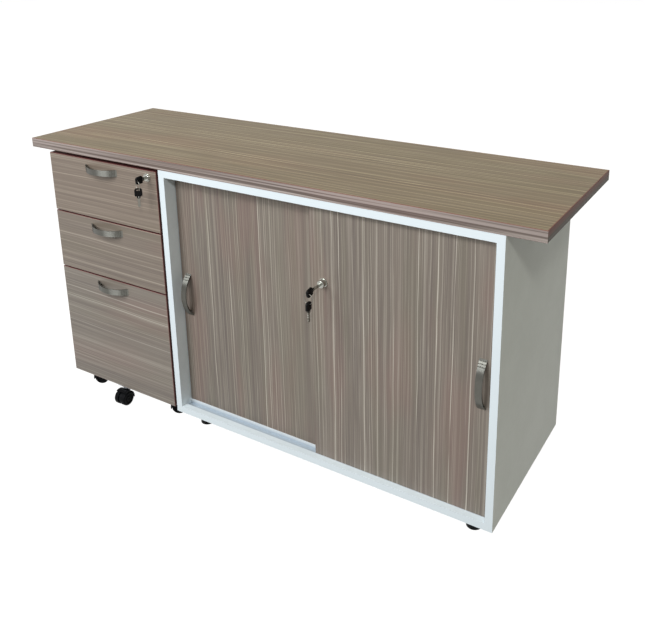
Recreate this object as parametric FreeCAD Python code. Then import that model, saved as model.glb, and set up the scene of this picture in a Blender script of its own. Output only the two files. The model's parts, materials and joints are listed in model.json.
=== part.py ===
"""Office credenza: a worktop on a sliding-door cabinet, with a mobile drawer pedestal under its
free end.

Millimetres. X runs along the worktop to the right, Y from the front to the back, Z up.
The origin is on the floor, under the middle of the bounding box. Every piece is a solid in
parts/NODE.step, and pieces of one kind on one body share a node as separate solids.
"""
import FreeCAD, Part
import math
import os

V = FreeCAD.Vector

# ---------------------------------------------------------------- driving dimensions
OVERALL_HEIGHT = 750.0

WORKTOP_LENGTH = 1465.0
WORKTOP_DEPTH = 458.0
WORKTOP_THICKNESS = 25.0
WORKTOP_BAND = 2.0
WORKTOP_OVERHANG = 81.0     # past the cabinet's right side

CABINET_WIDTH = 909.0
CABINET_DEPTH = 452.0
FOOT_HEIGHT = 42.0
FOOT_RADIUS = 19.0
FOOT_NECK_RADIUS = 16.0
FOOT_FLANGE_RADIUS = 25.0
FOOT_FLANGE = 3.0
FOOT_SOLE = 8.0             # height of the straight part above the floor
FOOT_SOLE_ROUND = 2.0
FOOT_FLARE = 5.0            # height of the cone at each end of the neck
FOOT_INSET_X = 61.0
FOOT_INSET_Y = 51.0
BOARD = 18.0
BACK_BOARD = 9.0
SHELF_DEPTH = 372.0
SHELF_Z = 374.0
SHELF_PLAY = 1.0            # to the sides and the back panel
SHELF_PIN_RADIUS = 2.5
SHELF_PIN_LENGTH = 9.0
SHELF_PIN_INSET = 40.0      # from the shelf's front and back edges

DOOR_THICKNESS = 16.0
DOOR_OVERLAP = 27.0
DOOR_SIDE_GAP = 0.8
TRACK_START = 15.8          # front wall of the double track behind the cabinet's front
TRACK_WALL = 1.5
TRACK_RIB = 1.8
TRACK_PLAY = 0.6            # each side of a door
TRACK_DEPTH = 6.5           # channel floor below the bottom board's surface
TRACK_RIB_RISE = 6.0        # rib above that surface
UPPER_TRACK_DEPTH = 10.5    # channel roof above the top board's underside
DOOR_FLOOR_GAP = 5.0
DOOR_TOP_ENGAGEMENT = 3.0
GLIDE_LENGTH = 36.0         # shoe in a door's bottom edge
GLIDE_THICKNESS = 12.0
GLIDE_RISE = 14.0
GLIDE_INSET = 60.0          # from the door's side edges
GLIDE_FLOAT = 0.3           # above the channel floor
GLIDE_ROUND = 2.0
GUIDE_RADIUS = 4.0          # pin in a door's top edge
GUIDE_SINK = 12.0
GUIDE_STAND = 5.0

PEDESTAL_WIDTH = 398.0
PEDESTAL_DEPTH = 449.0
PEDESTAL_GAP = 8.0          # between the pedestal and the cabinet
PEDESTAL_BOTTOM = 51.0
PEDESTAL_TOP = 718.0
CARCASS_BOARD = 16.0
DRAWER_FRONT = 18.0
FRONT_GAP = 3.0
FRONT_HEIGHTS = {"bottom": 331.0, "middle": 166.0, "top": 164.0}
ARRIS = 1.0                 # rounded edge of the banded panels
LOCK_NOTCH = (30.0, 14.0, 10.0)     # left and right of the lock, depth
BRACKET_NOTCH = (60.0, 6.0)         # width, depth

BOX_BOARD = 12.0
BOX_BOTTOM = 5.0
BOX_DEPTH = 400.0
BOX_LIFT = {"bottom": 24.0, "middle": 14.0, "top": 14.0}
BOX_HEIGHTS = {"bottom": 250.0, "middle": 105.0, "top": 105.0}
SLIDE_LIFT = {"bottom": 60.0, "middle": 40.0, "top": 40.0}
SLIDE_SPACE = 13.0          # side clearance of a ball-bearing slide
SLIDE_SHEET = 1.2
SLIDE_LENGTH = 398.0
SLIDE_MIDDLE_LENGTH = 378.0
SLIDE_SETBACK = 2.0
# sections from the carcass side: web, flange tips, half height and, on the outer one, lip
SLIDE_OUTER = (0.0, 9.6, 22.8, 4.2)
SLIDE_MIDDLE = (3.4, 10.4, 17.0)
SLIDE_INNER = (13.0, 6.4, 12.4)
FILE_RAIL_SHEET = 1.5
FILE_RAIL_HANG = 14.0       # below the drawer side's top edge
FILE_RAIL_STAND = 10.0      # above it
FILE_RAIL_END_GAP = 6.0

HANDLE_LENGTH = 118.0
HANDLE_RISE = 25.0
HANDLE_THICKNESS = 3.2
HANDLE_WIDTH_END = 18.0
HANDLE_WIDTH_MIDDLE = 15.0
HANDLE_POST_SPACING = 96.0
HANDLE_POST_RADIUS = 4.0
HANDLE_GROOVE_RADIUS = 1.1
HANDLE_GROOVE_LIFT = 0.5    # groove axis outside the bow's outer face
HANDLE_GROOVE_ANGLES = (33.5, 38.0, 42.5)   # degrees round the bow from its middle
HANDLE_BELOW_EDGE = 24.0    # centreline below a drawer front's top edge
HANDLE_INSET = 24.0         # centreline inside a door's outer edge
DOOR_HANDLE_Z = 382.0

LOCK_RADIUS = 9.0
LOCK_FLANGE_RADIUS = 10.5
LOCK_FLANGE = 1.5
LOCK_ROUND = 1.0
PLUG_RADIUS = 6.0
PLUG_DEPTH = 14.0
RUNNING_GAP = 0.1
DOOR_LOCK_INSET = 35.0      # from the front door's free edge
DOOR_LOCK_Z = 522.5
DRAWER_LOCK_INSET = 30.5    # from the drawer front's right edge
DRAWER_LOCK_BELOW = 18.0
# each lock in front of its panel: where the barrel ends and the key's fold pivot lies, and in
# degrees how far the key's head droops and the spare key on its ring is turned
DOOR_LOCK = {"stand": 14.0, "pivot": 45.0, "droop": 12.0, "spare_turn": 2.0}
DRAWER_LOCK = {"stand": 6.0, "pivot": 16.5, "droop": 2.0, "spare_turn": -43.0}
CAM_SHAFT_RADIUS = 3.0
CAM_SHAFT_END = 4.0         # behind the drawer front
CAM_SHAFT_SINK = 2.0        # into the plug
CAM_GAP = 1.0
CAM_THICKNESS = 2.0
CAM_WIDTH = 10.0
CAM_REACH = 15.0
CAM_ROUND = 4.0

KEY_HEAD_WIDTH = 19.0
KEY_HEAD_THICKNESS = 5.0
KEY_HEAD_AHEAD = 22.0       # tip ahead of the fold pivot
KEY_HEAD_ROUND = 6.0
KEY_NECK_WIDTH = 9.0
KEY_NECK_AHEAD = 1.5        # neck between these distances ahead of and behind the pivot
KEY_NECK_BACK = 4.0
KEY_NECK_ROUND = 3.0
KEY_SLIT_PLAY = 0.3         # on each side of the blade
KEY_BLADE_WIDTH = 7.0
KEY_BLADE_THICKNESS = 2.2
KEY_BLADE_LENGTH = 27.0
KEY_BLADE_SINK = 11.0       # into the plug
KEY_BLADE_PLAY = 0.1
KEY_HOLE_FROM_TIP = 5.0
KEY_HOLE_SIZE = (8.5, 4.2)
KEY_PIN_RADIUS = 1.5
RING_RADIUS = 12.0
RING_WIRE = 0.8

CASTOR_HEIGHT = 51.0
WHEEL_RADIUS = 20.0
WHEEL_WIDTH = 14.0
WHEEL_SPACE = 5.0           # inner face of a wheel from the castor's middle plane
WHEEL_ROUND = 4.0
WHEEL_RIM = 2.0             # flat ring inside the rounded shoulder
WHEEL_DISH = 2.5            # sunk face between rim and hub
WHEEL_DISH_SLOPE = 2.0
WHEEL_HUB_RADIUS = 7.0
HOOD_CLEARANCE = 1.2        # round the wheels
HOOD_THICKNESS = 1.8
HOOD_SETBACK = 1.0          # inside the wheels' outer faces
CASTOR_WEB_GAP = 0.6        # between the web and a wheel
CASTOR_WEB_RADIUS = 17.0
CASTOR_BOSS_RADIUS = 8.5
CASTOR_BOSS_FROM = 10.0     # above the axle
CASTOR_BOSS_GAP = 6.0       # below the fixing plate
CASTOR_PIN_LENGTH = 5.0     # above the boss
CASTOR_AXLE_INSET = 3.0     # axle end inside a wheel's outer face
CASTOR_TRAIL = 13.0
CASTOR_INSET_X = 44.0
CASTOR_INSET_FRONT = 45.0
CASTOR_INSET_BACK = 46.0
CASTOR_PLATE = 42.0
CASTOR_PLATE_THICKNESS = 2.5
CASTOR_PLATE_ROUND = 5.0
CASTOR_BEARING = (10.0, 3.0)        # radius, height
CASTOR_SCREW_HEAD = (3.5, 1.5)
CASTOR_SCREW_INSET = 6.0
CASTOR_AXLE_RADIUS = 2.5
CASTOR_PIN_RADIUS = 4.0
# castor number: trail direction in degrees from +X
CASTOR_TRAIL_ANGLES = {1: 28.0, 2: 30.0, 3: 18.0, 4: 48.0, 5: 272.0}
FIFTH_CASTOR_OFFSET_X = 2.5
FIFTH_CASTOR_FROM_FRONT = 9.0
BRACKET_SHEET = 2.0
BRACKET_WIDTH = 50.0
BRACKET_RISE = 22.0
BRACKET_SETBACK = 0.5       # behind the drawer front's face
BRACKET_BEARING = (8.4, 3.4)

# ---------------------------------------------------------------- planes and places
def key_reach(lock):
    """How far the two keys of a lock reach out in front of its panel."""
    hole = (KEY_HEAD_AHEAD - KEY_HOLE_FROM_TIP) * math.cos(math.radians(lock["droop"]))
    turn = math.radians(abs(lock["spare_turn"]))
    spare = KEY_HEAD_WIDTH / 2 * math.cos(turn) + KEY_HEAD_THICKNESS / 2 * math.sin(turn)
    return lock["pivot"] + hole + spare


FRONT_DOOR_SETBACK = TRACK_START + TRACK_WALL + TRACK_PLAY
FRONT_REACH = key_reach(DOOR_LOCK) - FRONT_DOOR_SETBACK
FRONT = FRONT_REACH - (WORKTOP_DEPTH + FRONT_REACH) / 2
WORKTOP_LEFT = -WORKTOP_LENGTH / 2
WORKTOP_RIGHT = WORKTOP_LENGTH / 2
WORKTOP_UNDERSIDE = OVERALL_HEIGHT - WORKTOP_THICKNESS

CABINET_RIGHT = WORKTOP_RIGHT - WORKTOP_OVERHANG
CABINET_LEFT = CABINET_RIGHT - CABINET_WIDTH
INSIDE_LEFT = CABINET_LEFT + BOARD
INSIDE_RIGHT = CABINET_RIGHT - BOARD
FLOOR_BOARD_TOP = FOOT_HEIGHT + BOARD
TOP_BOARD_UNDERSIDE = WORKTOP_UNDERSIDE - BOARD
CABINET_BACK = FRONT + CABINET_DEPTH

CHANNEL = DOOR_THICKNESS + 2 * TRACK_PLAY
TRACK_FRONT = FRONT + TRACK_START
FRONT_CHANNEL = TRACK_FRONT + TRACK_WALL
REAR_CHANNEL = FRONT_CHANNEL + CHANNEL + TRACK_RIB
TRACK_BACK = REAR_CHANNEL + CHANNEL + TRACK_WALL
FRONT_DOOR_FACE = FRONT + FRONT_DOOR_SETBACK
REAR_DOOR_FACE = REAR_CHANNEL + TRACK_PLAY
CHANNEL_FLOOR = FLOOR_BOARD_TOP - TRACK_DEPTH
CHANNEL_ROOF = TOP_BOARD_UNDERSIDE + UPPER_TRACK_DEPTH
DOOR_BOTTOM = CHANNEL_FLOOR + DOOR_FLOOR_GAP
DOOR_TOP = TOP_BOARD_UNDERSIDE + DOOR_TOP_ENGAGEMENT
DOOR_WIDTH = (INSIDE_RIGHT - INSIDE_LEFT + DOOR_OVERLAP) / 2 - DOOR_SIDE_GAP

PEDESTAL_RIGHT = CABINET_LEFT - PEDESTAL_GAP
PEDESTAL_LEFT = PEDESTAL_RIGHT - PEDESTAL_WIDTH
PEDESTAL_MIDDLE = (PEDESTAL_LEFT + PEDESTAL_RIGHT) / 2
CARCASS_FRONT = FRONT + DRAWER_FRONT
PEDESTAL_BACK = FRONT + PEDESTAL_DEPTH
BOX_LEFT = PEDESTAL_LEFT + CARCASS_BOARD + SLIDE_SPACE
BOX_RIGHT = PEDESTAL_RIGHT - CARCASS_BOARD - SLIDE_SPACE
BOX_BACK = CARCASS_FRONT + BOX_DEPTH

DOOR_LOCK_X = INSIDE_RIGHT - DOOR_SIDE_GAP - DOOR_WIDTH + DOOR_LOCK_INSET
DRAWER_LOCK_X = PEDESTAL_RIGHT - DRAWER_LOCK_INSET
DRAWER_LOCK_Z = PEDESTAL_TOP - DRAWER_LOCK_BELOW


def front_spans():
    """Lower and upper edge of each drawer front, stacked from the pedestal's bottom."""
    spans = {}
    z = PEDESTAL_BOTTOM
    for name, height in FRONT_HEIGHTS.items():
        spans[name] = (z, z + height)
        z += height + FRONT_GAP
    return spans


SPANS = front_spans()


# ---------------------------------------------------------------- helpers
def block(x0, x1, y0, y1, z0, z1):
    """Box between two opposite corners."""
    return Part.makeBox(x1 - x0, y1 - y0, z1 - z0, V(x0, y0, z0))


def rod(radius, start, direction, length):
    """Cylinder from a start point along a direction."""
    return Part.makeCylinder(radius, length, start, direction)


def fused(shapes):
    """One solid from touching shapes."""
    return shapes[0].multiFuse(shapes[1:]).removeSplitter()


def rounded(shape, radius, chosen):
    """Fillet the edges for which chosen(edge) is true."""
    edges = [edge for edge in shape.Edges if chosen(edge)]
    return shape.makeFillet(radius, edges)


def on_plane(axis, value):
    """Test for edges that lie whole in the plane axis = value."""
    def chosen(edge):
        return all(abs(getattr(v.Point, axis) - value) < 1e-4 for v in edge.Vertexes)
    return chosen


def along(axis):
    """Test for straight edges parallel to an axis."""
    def chosen(edge):
        if edge.Curve.TypeId != "Part::GeomLine":
            return False
        return abs(abs(getattr(edge.Curve.Direction, axis)) - 1) < 1e-6
    return chosen


def polygon_face(points):
    """Planar face from corner points."""
    return Part.Face(Part.makePolygon(points + [points[0]]))


def placed(shape, origin, x_axis, y_axis):
    """A copy whose own X and Y axes point along the given directions at origin."""
    rotation = FreeCAD.Rotation(x_axis, y_axis, x_axis.cross(y_axis), "XYZ")
    copy = shape.copy()
    copy.Placement = FreeCAD.Placement(origin, rotation)
    return copy


def turned(shape, angle, centre=V(0, 0, 0), axis=V(0, 0, 1)):
    """A copy turned in degrees about an axis."""
    copy = shape.copy()
    copy.rotate(centre, axis, angle)
    return copy


def moved(shape, x, y, z):
    """A copy moved by an offset."""
    copy = shape.copy()
    copy.translate(V(x, y, z))
    return copy


# ---------------------------------------------------------------- worktop
def worktop_board():
    """Laminated core inside the edge bands."""
    band = WORKTOP_BAND
    return block(WORKTOP_LEFT + band, WORKTOP_RIGHT - band, FRONT + band,
                 FRONT + WORKTOP_DEPTH - band, WORKTOP_UNDERSIDE, OVERALL_HEIGHT)


def worktop_edge_bands():
    """Front and back bands over the full length, end bands between them."""
    back = FRONT + WORKTOP_DEPTH
    bands = []
    for outer, inner in ((FRONT, FRONT + WORKTOP_BAND), (back, back - WORKTOP_BAND)):
        band = block(WORKTOP_LEFT, WORKTOP_RIGHT, min(outer, inner), max(outer, inner),
                     WORKTOP_UNDERSIDE, OVERALL_HEIGHT)
        bands.append(rounded(band, ARRIS, lambda e, y=outer: along("x")(e) and on_plane("y", y)(e)))
    for outer, inner in ((WORKTOP_LEFT, WORKTOP_LEFT + WORKTOP_BAND),
                         (WORKTOP_RIGHT, WORKTOP_RIGHT - WORKTOP_BAND)):
        band = block(min(outer, inner), max(outer, inner), FRONT + WORKTOP_BAND,
                     back - WORKTOP_BAND, WORKTOP_UNDERSIDE, OVERALL_HEIGHT)
        bands.append(rounded(band, ARRIS, lambda e, x=outer: along("y")(e) and on_plane("x", x)(e)))
    return bands


# ---------------------------------------------------------------- cabinet
def cabinet_side(outer, inner):
    """Full-height side board, rebated at the back for the back panel."""
    board = block(min(outer, inner), max(outer, inner), FRONT, CABINET_BACK,
                  FOOT_HEIGHT, WORKTOP_UNDERSIDE)
    lap = (inner - outer) / 2
    rebate = block(min(inner - lap, inner), max(inner - lap, inner),
                   CABINET_BACK - BACK_BOARD, CABINET_BACK, FOOT_HEIGHT, WORKTOP_UNDERSIDE)
    return board.cut(rebate)


def cabinet_top():
    """Top board between the sides, with a rebate for the upper track."""
    board = block(INSIDE_LEFT, INSIDE_RIGHT, FRONT, CABINET_BACK - BACK_BOARD,
                  TOP_BOARD_UNDERSIDE, WORKTOP_UNDERSIDE)
    rebate = block(INSIDE_LEFT, INSIDE_RIGHT, TRACK_FRONT, TRACK_BACK,
                   TOP_BOARD_UNDERSIDE, CHANNEL_ROOF + TRACK_WALL)
    return board.cut(rebate)


def cabinet_bottom():
    """Bottom board between the sides, with a rebate for the lower track."""
    board = block(INSIDE_LEFT, INSIDE_RIGHT, FRONT, CABINET_BACK - BACK_BOARD,
                  FOOT_HEIGHT, FLOOR_BOARD_TOP)
    rebate = block(INSIDE_LEFT, INSIDE_RIGHT, TRACK_FRONT, TRACK_BACK,
                   CHANNEL_FLOOR - TRACK_WALL, FLOOR_BOARD_TOP)
    return board.cut(rebate)


def cabinet_back():
    """Back panel lying in the rebates of both sides."""
    lap = BOARD / 2
    return block(INSIDE_LEFT - lap, INSIDE_RIGHT + lap, CABINET_BACK - BACK_BOARD, CABINET_BACK,
                 FOOT_HEIGHT, WORKTOP_UNDERSIDE)


def cabinet_shelf():
    """Loose shelf behind the doors' paths."""
    back = CABINET_BACK - BACK_BOARD - SHELF_PLAY
    shelf = block(INSIDE_LEFT + SHELF_PLAY, INSIDE_RIGHT - SHELF_PLAY, back - SHELF_DEPTH, back,
                  SHELF_Z, SHELF_Z + BOARD)
    front = on_plane("y", back - SHELF_DEPTH)
    return rounded(shelf, ARRIS, lambda e: along("x")(e) and front(e))


def shelf_pins():
    """Four pins that stand out of the sides under the shelf."""
    pins = []
    back = CABINET_BACK - BACK_BOARD - SHELF_PLAY
    for y in (back - SHELF_DEPTH + SHELF_PIN_INSET, back - SHELF_PIN_INSET):
        for x, direction in ((INSIDE_LEFT, V(1, 0, 0)), (INSIDE_RIGHT, V(-1, 0, 0))):
            pins.append(rod(SHELF_PIN_RADIUS, V(x, y, SHELF_Z - SHELF_PIN_RADIUS), direction,
                            SHELF_PIN_LENGTH))
    return pins


def track(base, floor, walls_to, rib_to):
    """Double channel along the cabinet: a base, two walls and the rib between the doors."""
    low, high = min(base, floor), max(base, floor)
    pieces = [block(INSIDE_LEFT, INSIDE_RIGHT, TRACK_FRONT, TRACK_BACK, low, high)]
    rib_front = FRONT_CHANNEL + CHANNEL
    uprights = ((TRACK_FRONT, FRONT_CHANNEL, walls_to), (rib_front, REAR_CHANNEL, rib_to),
                (TRACK_BACK - TRACK_WALL, TRACK_BACK, rib_to))
    for y0, y1, end in uprights:
        pieces.append(block(INSIDE_LEFT, INSIDE_RIGHT, y0, y1, min(floor, end), max(floor, end)))
    return fused(pieces)


def lower_track():
    """Channel floor below the board's surface, rib standing above it."""
    return track(CHANNEL_FLOOR - TRACK_WALL, CHANNEL_FLOOR, FLOOR_BOARD_TOP,
                 FLOOR_BOARD_TOP + TRACK_RIB_RISE)


def upper_track():
    """The same channel upside down, flush with the top board's underside."""
    return track(CHANNEL_ROOF + TRACK_WALL, CHANNEL_ROOF, TOP_BOARD_UNDERSIDE, TOP_BOARD_UNDERSIDE)


def cabinet_feet():
    """Round plastic feet: a flange against the board, a waisted column and a rounded sole."""
    bend = FOOT_SOLE_ROUND * (1 - math.sqrt(0.5))
    arc = Part.Arc(V(FOOT_RADIUS - FOOT_SOLE_ROUND, 0, 0), V(FOOT_RADIUS - bend, 0, bend),
                   V(FOOT_RADIUS, 0, FOOT_SOLE_ROUND)).toShape()
    flange = FOOT_HEIGHT - FOOT_FLANGE
    outline = [V(FOOT_RADIUS, 0, FOOT_SOLE_ROUND), V(FOOT_RADIUS, 0, FOOT_SOLE),
               V(FOOT_NECK_RADIUS, 0, FOOT_SOLE + FOOT_FLARE),
               V(FOOT_NECK_RADIUS, 0, flange - FOOT_FLARE), V(FOOT_FLANGE_RADIUS, 0, flange),
               V(FOOT_FLANGE_RADIUS, 0, FOOT_HEIGHT), V(0, 0, FOOT_HEIGHT), V(0, 0, 0),
               V(FOOT_RADIUS - FOOT_SOLE_ROUND, 0, 0)]
    wire = Part.Wire([arc] + Part.makePolygon(outline).Edges)
    foot = Part.Face(wire).revolve(V(0, 0, 0), V(0, 0, 1), 360)
    feet = []
    for x in (CABINET_LEFT + FOOT_INSET_X, CABINET_RIGHT - FOOT_INSET_X):
        for y in (FRONT + FOOT_INSET_Y, CABINET_BACK - FOOT_INSET_Y):
            feet.append(moved(foot, x, y, 0))
    return feet


# ---------------------------------------------------------------- sliding doors
def door_glides(left, face):
    """Two shoes in the door's bottom edge and two guide pins in its top edge."""
    middle = face + DOOR_THICKNESS / 2
    glides = []
    for x in (left + GLIDE_INSET, left + DOOR_WIDTH - GLIDE_INSET):
        shoe = block(x - GLIDE_LENGTH / 2, x + GLIDE_LENGTH / 2, middle - GLIDE_THICKNESS / 2,
                     middle + GLIDE_THICKNESS / 2, CHANNEL_FLOOR + GLIDE_FLOAT,
                     DOOR_BOTTOM + GLIDE_RISE)
        sole = on_plane("z", CHANNEL_FLOOR + GLIDE_FLOAT)
        glides.append(rounded(shoe, GLIDE_ROUND, lambda e: along("y")(e) and sole(e)))
        glides.append(rod(GUIDE_RADIUS, V(x, middle, DOOR_TOP - GUIDE_SINK), V(0, 0, 1),
                          GUIDE_SINK + GUIDE_STAND))
    return glides


def door_board(left, face, glides):
    """Banded door panel with pockets for its shoes and guide pins."""
    board = block(left, left + DOOR_WIDTH, face, face + DOOR_THICKNESS, DOOR_BOTTOM, DOOR_TOP)
    front = on_plane("y", face)
    board = rounded(board, ARRIS, front)
    for glide in glides:
        board = board.cut(glide)
    return board


# ---------------------------------------------------------------- bow handle
def bow_handle():
    """Bow pull lying along X, standing out towards -Y, with its feet on the plane y = 0."""
    half = HANDLE_LENGTH / 2
    radius = (half ** 2 + HANDLE_RISE ** 2) / (2 * HANDLE_RISE)
    centre_y = radius - HANDLE_RISE
    inner = radius - HANDLE_THICKNESS
    inner_half = math.sqrt(inner ** 2 - centre_y ** 2)
    outer_arc = Part.Arc(V(-half, 0, 0), V(0, -HANDLE_RISE, 0), V(half, 0, 0)).toShape()
    inner_arc = Part.Arc(V(inner_half, 0, 0), V(0, HANDLE_THICKNESS - HANDLE_RISE, 0),
                         V(-inner_half, 0, 0)).toShape()
    right_foot = Part.LineSegment(V(half, 0, 0), V(inner_half, 0, 0)).toShape()
    left_foot = Part.LineSegment(V(-inner_half, 0, 0), V(-half, 0, 0)).toShape()
    section = Part.Face(Part.Wire([outer_arc, right_foot, inner_arc, left_foot]))
    width = HANDLE_WIDTH_END
    strap = moved(section.extrude(V(0, 0, width)), 0, 0, -width / 2)
    # seen from the front the strap narrows towards its middle
    end, middle = HANDLE_WIDTH_END / 2, HANDLE_WIDTH_MIDDLE / 2
    upper = Part.Arc(V(-half, 1, end), V(0, 1, middle), V(half, 1, end)).toShape()
    lower = Part.Arc(V(half, 1, -end), V(0, 1, -middle), V(-half, 1, -end)).toShape()
    right = Part.LineSegment(V(half, 1, end), V(half, 1, -end)).toShape()
    left = Part.LineSegment(V(-half, 1, -end), V(-half, 1, end)).toShape()
    plan = Part.Face(Part.Wire([upper, right, lower, left]))
    strap = strap.common(plan.extrude(V(0, -HANDLE_RISE - 2, 0)))
    # grooves across both ends
    groove = rod(HANDLE_GROOVE_RADIUS, V(0, 0, -width), V(0, 0, 1), 2 * width)
    groove_line = radius + HANDLE_GROOVE_LIFT
    for side in (-1, 1):
        for step in HANDLE_GROOVE_ANGLES:
            angle = math.radians(side * step)
            strap = strap.cut(moved(groove, groove_line * math.sin(angle),
                                    centre_y - groove_line * math.cos(angle), 0))
    posts = []
    for side in (-1, 1):
        x = side * HANDLE_POST_SPACING / 2
        depth = math.sqrt((inner + 1) ** 2 - x ** 2) - centre_y
        posts.append(rod(HANDLE_POST_RADIUS, V(x, 0, 0), V(0, -1, 0), depth))
    return fused([strap] + posts)


def drawer_handle(name):
    """Level handle near the top of a drawer front."""
    top = SPANS[name][1]
    return moved(bow_handle(), PEDESTAL_MIDDLE, FRONT, top - HANDLE_BELOW_EDGE)


def door_handle(x, face):
    """Upright handle beside a door's outer edge."""
    upright = turned(bow_handle(), 90, axis=V(0, 1, 0))
    return moved(upright, x, face, DOOR_HANDLE_Z)


# ---------------------------------------------------------------- locks and keys
def lock_barrel(x, face, z, lock, panel):
    """Barrel through a panel, with a flange on its face and a bore for the plug."""
    out, stand = V(0, -1, 0), lock["stand"]
    barrel = rod(LOCK_RADIUS, V(x, face + panel, z), out, panel + stand)
    flange = rod(LOCK_FLANGE_RADIUS, V(x, face, z), out, LOCK_FLANGE)
    bore = rod(PLUG_RADIUS + RUNNING_GAP, V(x, face - stand + PLUG_DEPTH, z), out, PLUG_DEPTH + 1)
    shell = fused([barrel, flange])
    shell = rounded(shell, LOCK_ROUND, on_plane("y", face - stand))
    return shell.cut(bore)


def lock_panel_bore(x, face, z, panel):
    """Round hole that a lock needs in its panel."""
    return rod(LOCK_RADIUS + RUNNING_GAP, V(x, face - 1, z), V(0, 1, 0), panel + 2)


def key_blade(inside, outside):
    """Blade in the key's own frame: X out of the lock to the fold pivot, Y up, Z across."""
    strip = block(-inside, outside, -KEY_BLADE_WIDTH / 2, KEY_BLADE_WIDTH / 2,
                  -KEY_BLADE_THICKNESS / 2, KEY_BLADE_THICKNESS / 2)
    eye = rod(KEY_BLADE_WIDTH / 2, V(outside, 0, -KEY_BLADE_THICKNESS / 2), V(0, 0, 1),
              KEY_BLADE_THICKNESS)
    hole = rod(KEY_PIN_RADIUS + RUNNING_GAP, V(outside, 0, -5), V(0, 0, 1), 10)
    return fused([strip, eye]).cut(hole)


def key_head():
    """Folding head about its pivot pin at the origin: X towards the ring hole, Z across."""
    half, neck, thick = KEY_HEAD_WIDTH / 2, KEY_NECK_WIDTH / 2, KEY_HEAD_THICKNESS / 2
    root = on_plane("x", KEY_NECK_AHEAD)
    grip = block(KEY_NECK_AHEAD, KEY_HEAD_AHEAD, -half, half, -thick, thick)
    grip = rounded(grip, KEY_HEAD_ROUND, lambda e: along("z")(e) and not root(e))
    grip = rounded(grip, KEY_NECK_ROUND, lambda e: along("z")(e) and root(e))
    end = on_plane("x", -KEY_NECK_BACK)
    stem = block(-KEY_NECK_BACK, KEY_NECK_AHEAD + KEY_NECK_ROUND, -neck, neck, -thick, thick)
    stem = rounded(stem, KEY_NECK_ROUND, lambda e: along("z")(e) and end(e))
    slit_half = KEY_BLADE_THICKNESS / 2 + KEY_SLIT_PLAY
    slit = block(-KEY_NECK_BACK - 1, KEY_BLADE_WIDTH / 2 + 1, -half - 1, half + 1,
                 -slit_half, slit_half)
    length, width = KEY_HOLE_SIZE
    x = KEY_HEAD_AHEAD - KEY_HOLE_FROM_TIP
    hole = block(x - width / 2, x + width / 2, -length / 2, length / 2, -5, 5)
    hole = rounded(hole, width / 2 - 0.05, along("z"))
    pin = rod(KEY_PIN_RADIUS, V(0, 0, -thick), V(0, 0, 1), KEY_HEAD_THICKNESS)
    return fused([fused([grip, stem]).cut(slit).cut(hole), pin])


def spare_key_pieces():
    """Ring, head and blade about the ring hole at the origin: Z up, the first key along Y."""
    ring = Part.makeTorus(RING_RADIUS, RING_WIRE, V(0, 0, -RING_RADIUS), V(0, 1, 0))
    pivot = V(0, 0, -2 * RING_RADIUS - KEY_HEAD_AHEAD + KEY_HOLE_FROM_TIP)
    head = placed(key_head(), pivot, V(0, 0, 1), V(0, 1, 0))
    blade = placed(key_blade(KEY_BLADE_LENGTH, 0.0), pivot, V(0, 0, 1), V(0, 1, 0))
    return ring, head, blade


def lock_plug(x, face, z, lock):
    """Turning plug with the key's blade in its slot."""
    out, mouth = V(0, -1, 0), face - lock["stand"]
    depth = PLUG_DEPTH - RUNNING_GAP
    plug = rod(PLUG_RADIUS, V(x, mouth + depth, z), out, depth)
    half = KEY_BLADE_THICKNESS / 2 + KEY_BLADE_PLAY
    rise = KEY_BLADE_WIDTH / 2 + KEY_BLADE_PLAY
    slot = block(x - half, x + half, mouth - 1, mouth + KEY_BLADE_SINK, z - rise, z + rise)
    blade = key_blade(KEY_BLADE_SINK, lock["pivot"] - lock["stand"])
    return [plug.cut(slot), placed(blade, V(x, mouth, z), out, V(0, 0, 1))]


def drooping_head(x, face, z, lock):
    """Key head at its fold pivot, drooping from straight out."""
    angle = math.radians(lock["droop"])
    out = V(0, -math.cos(angle), -math.sin(angle))
    up = V(0, -math.sin(angle), math.cos(angle))
    return placed(key_head(), V(x, face - lock["pivot"], z), out, up)


def ring_hole(x, face, z, lock):
    """Centre of the ring hole in a drooping key head."""
    angle = math.radians(lock["droop"])
    reach = KEY_HEAD_AHEAD - KEY_HOLE_FROM_TIP
    return V(x, face - lock["pivot"] - reach * math.cos(angle), z - reach * math.sin(angle))


def hanging_spare(x, face, z, lock):
    """Spare key and ring hanging straight down from the first key's ring hole."""
    at, turn = ring_hole(x, face, z, lock), lock["spare_turn"]
    ring, head, blade = spare_key_pieces()
    hanging = (turned(ring, turn / 2), turned(head, turn), turned(blade, turn))
    return [moved(piece, at.x, at.y, at.z) for piece in hanging]


# ---------------------------------------------------------------- pedestal
def pedestal_side(outer, inner):
    """Side board of the pedestal's carcass, behind the drawer fronts."""
    return block(min(outer, inner), max(outer, inner), CARCASS_FRONT, PEDESTAL_BACK,
                 PEDESTAL_BOTTOM, PEDESTAL_TOP - CARCASS_BOARD)


def pedestal_top():
    """Top board over both sides, notched for the drawer lock's body and cam."""
    board = block(PEDESTAL_LEFT, PEDESTAL_RIGHT, CARCASS_FRONT, PEDESTAL_BACK,
                  PEDESTAL_TOP - CARCASS_BOARD, PEDESTAL_TOP)
    left, right, depth = LOCK_NOTCH
    notch = block(DRAWER_LOCK_X - left, DRAWER_LOCK_X + right, CARCASS_FRONT,
                  CARCASS_FRONT + depth, PEDESTAL_TOP - CARCASS_BOARD, PEDESTAL_TOP)
    return board.cut(notch)


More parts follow.
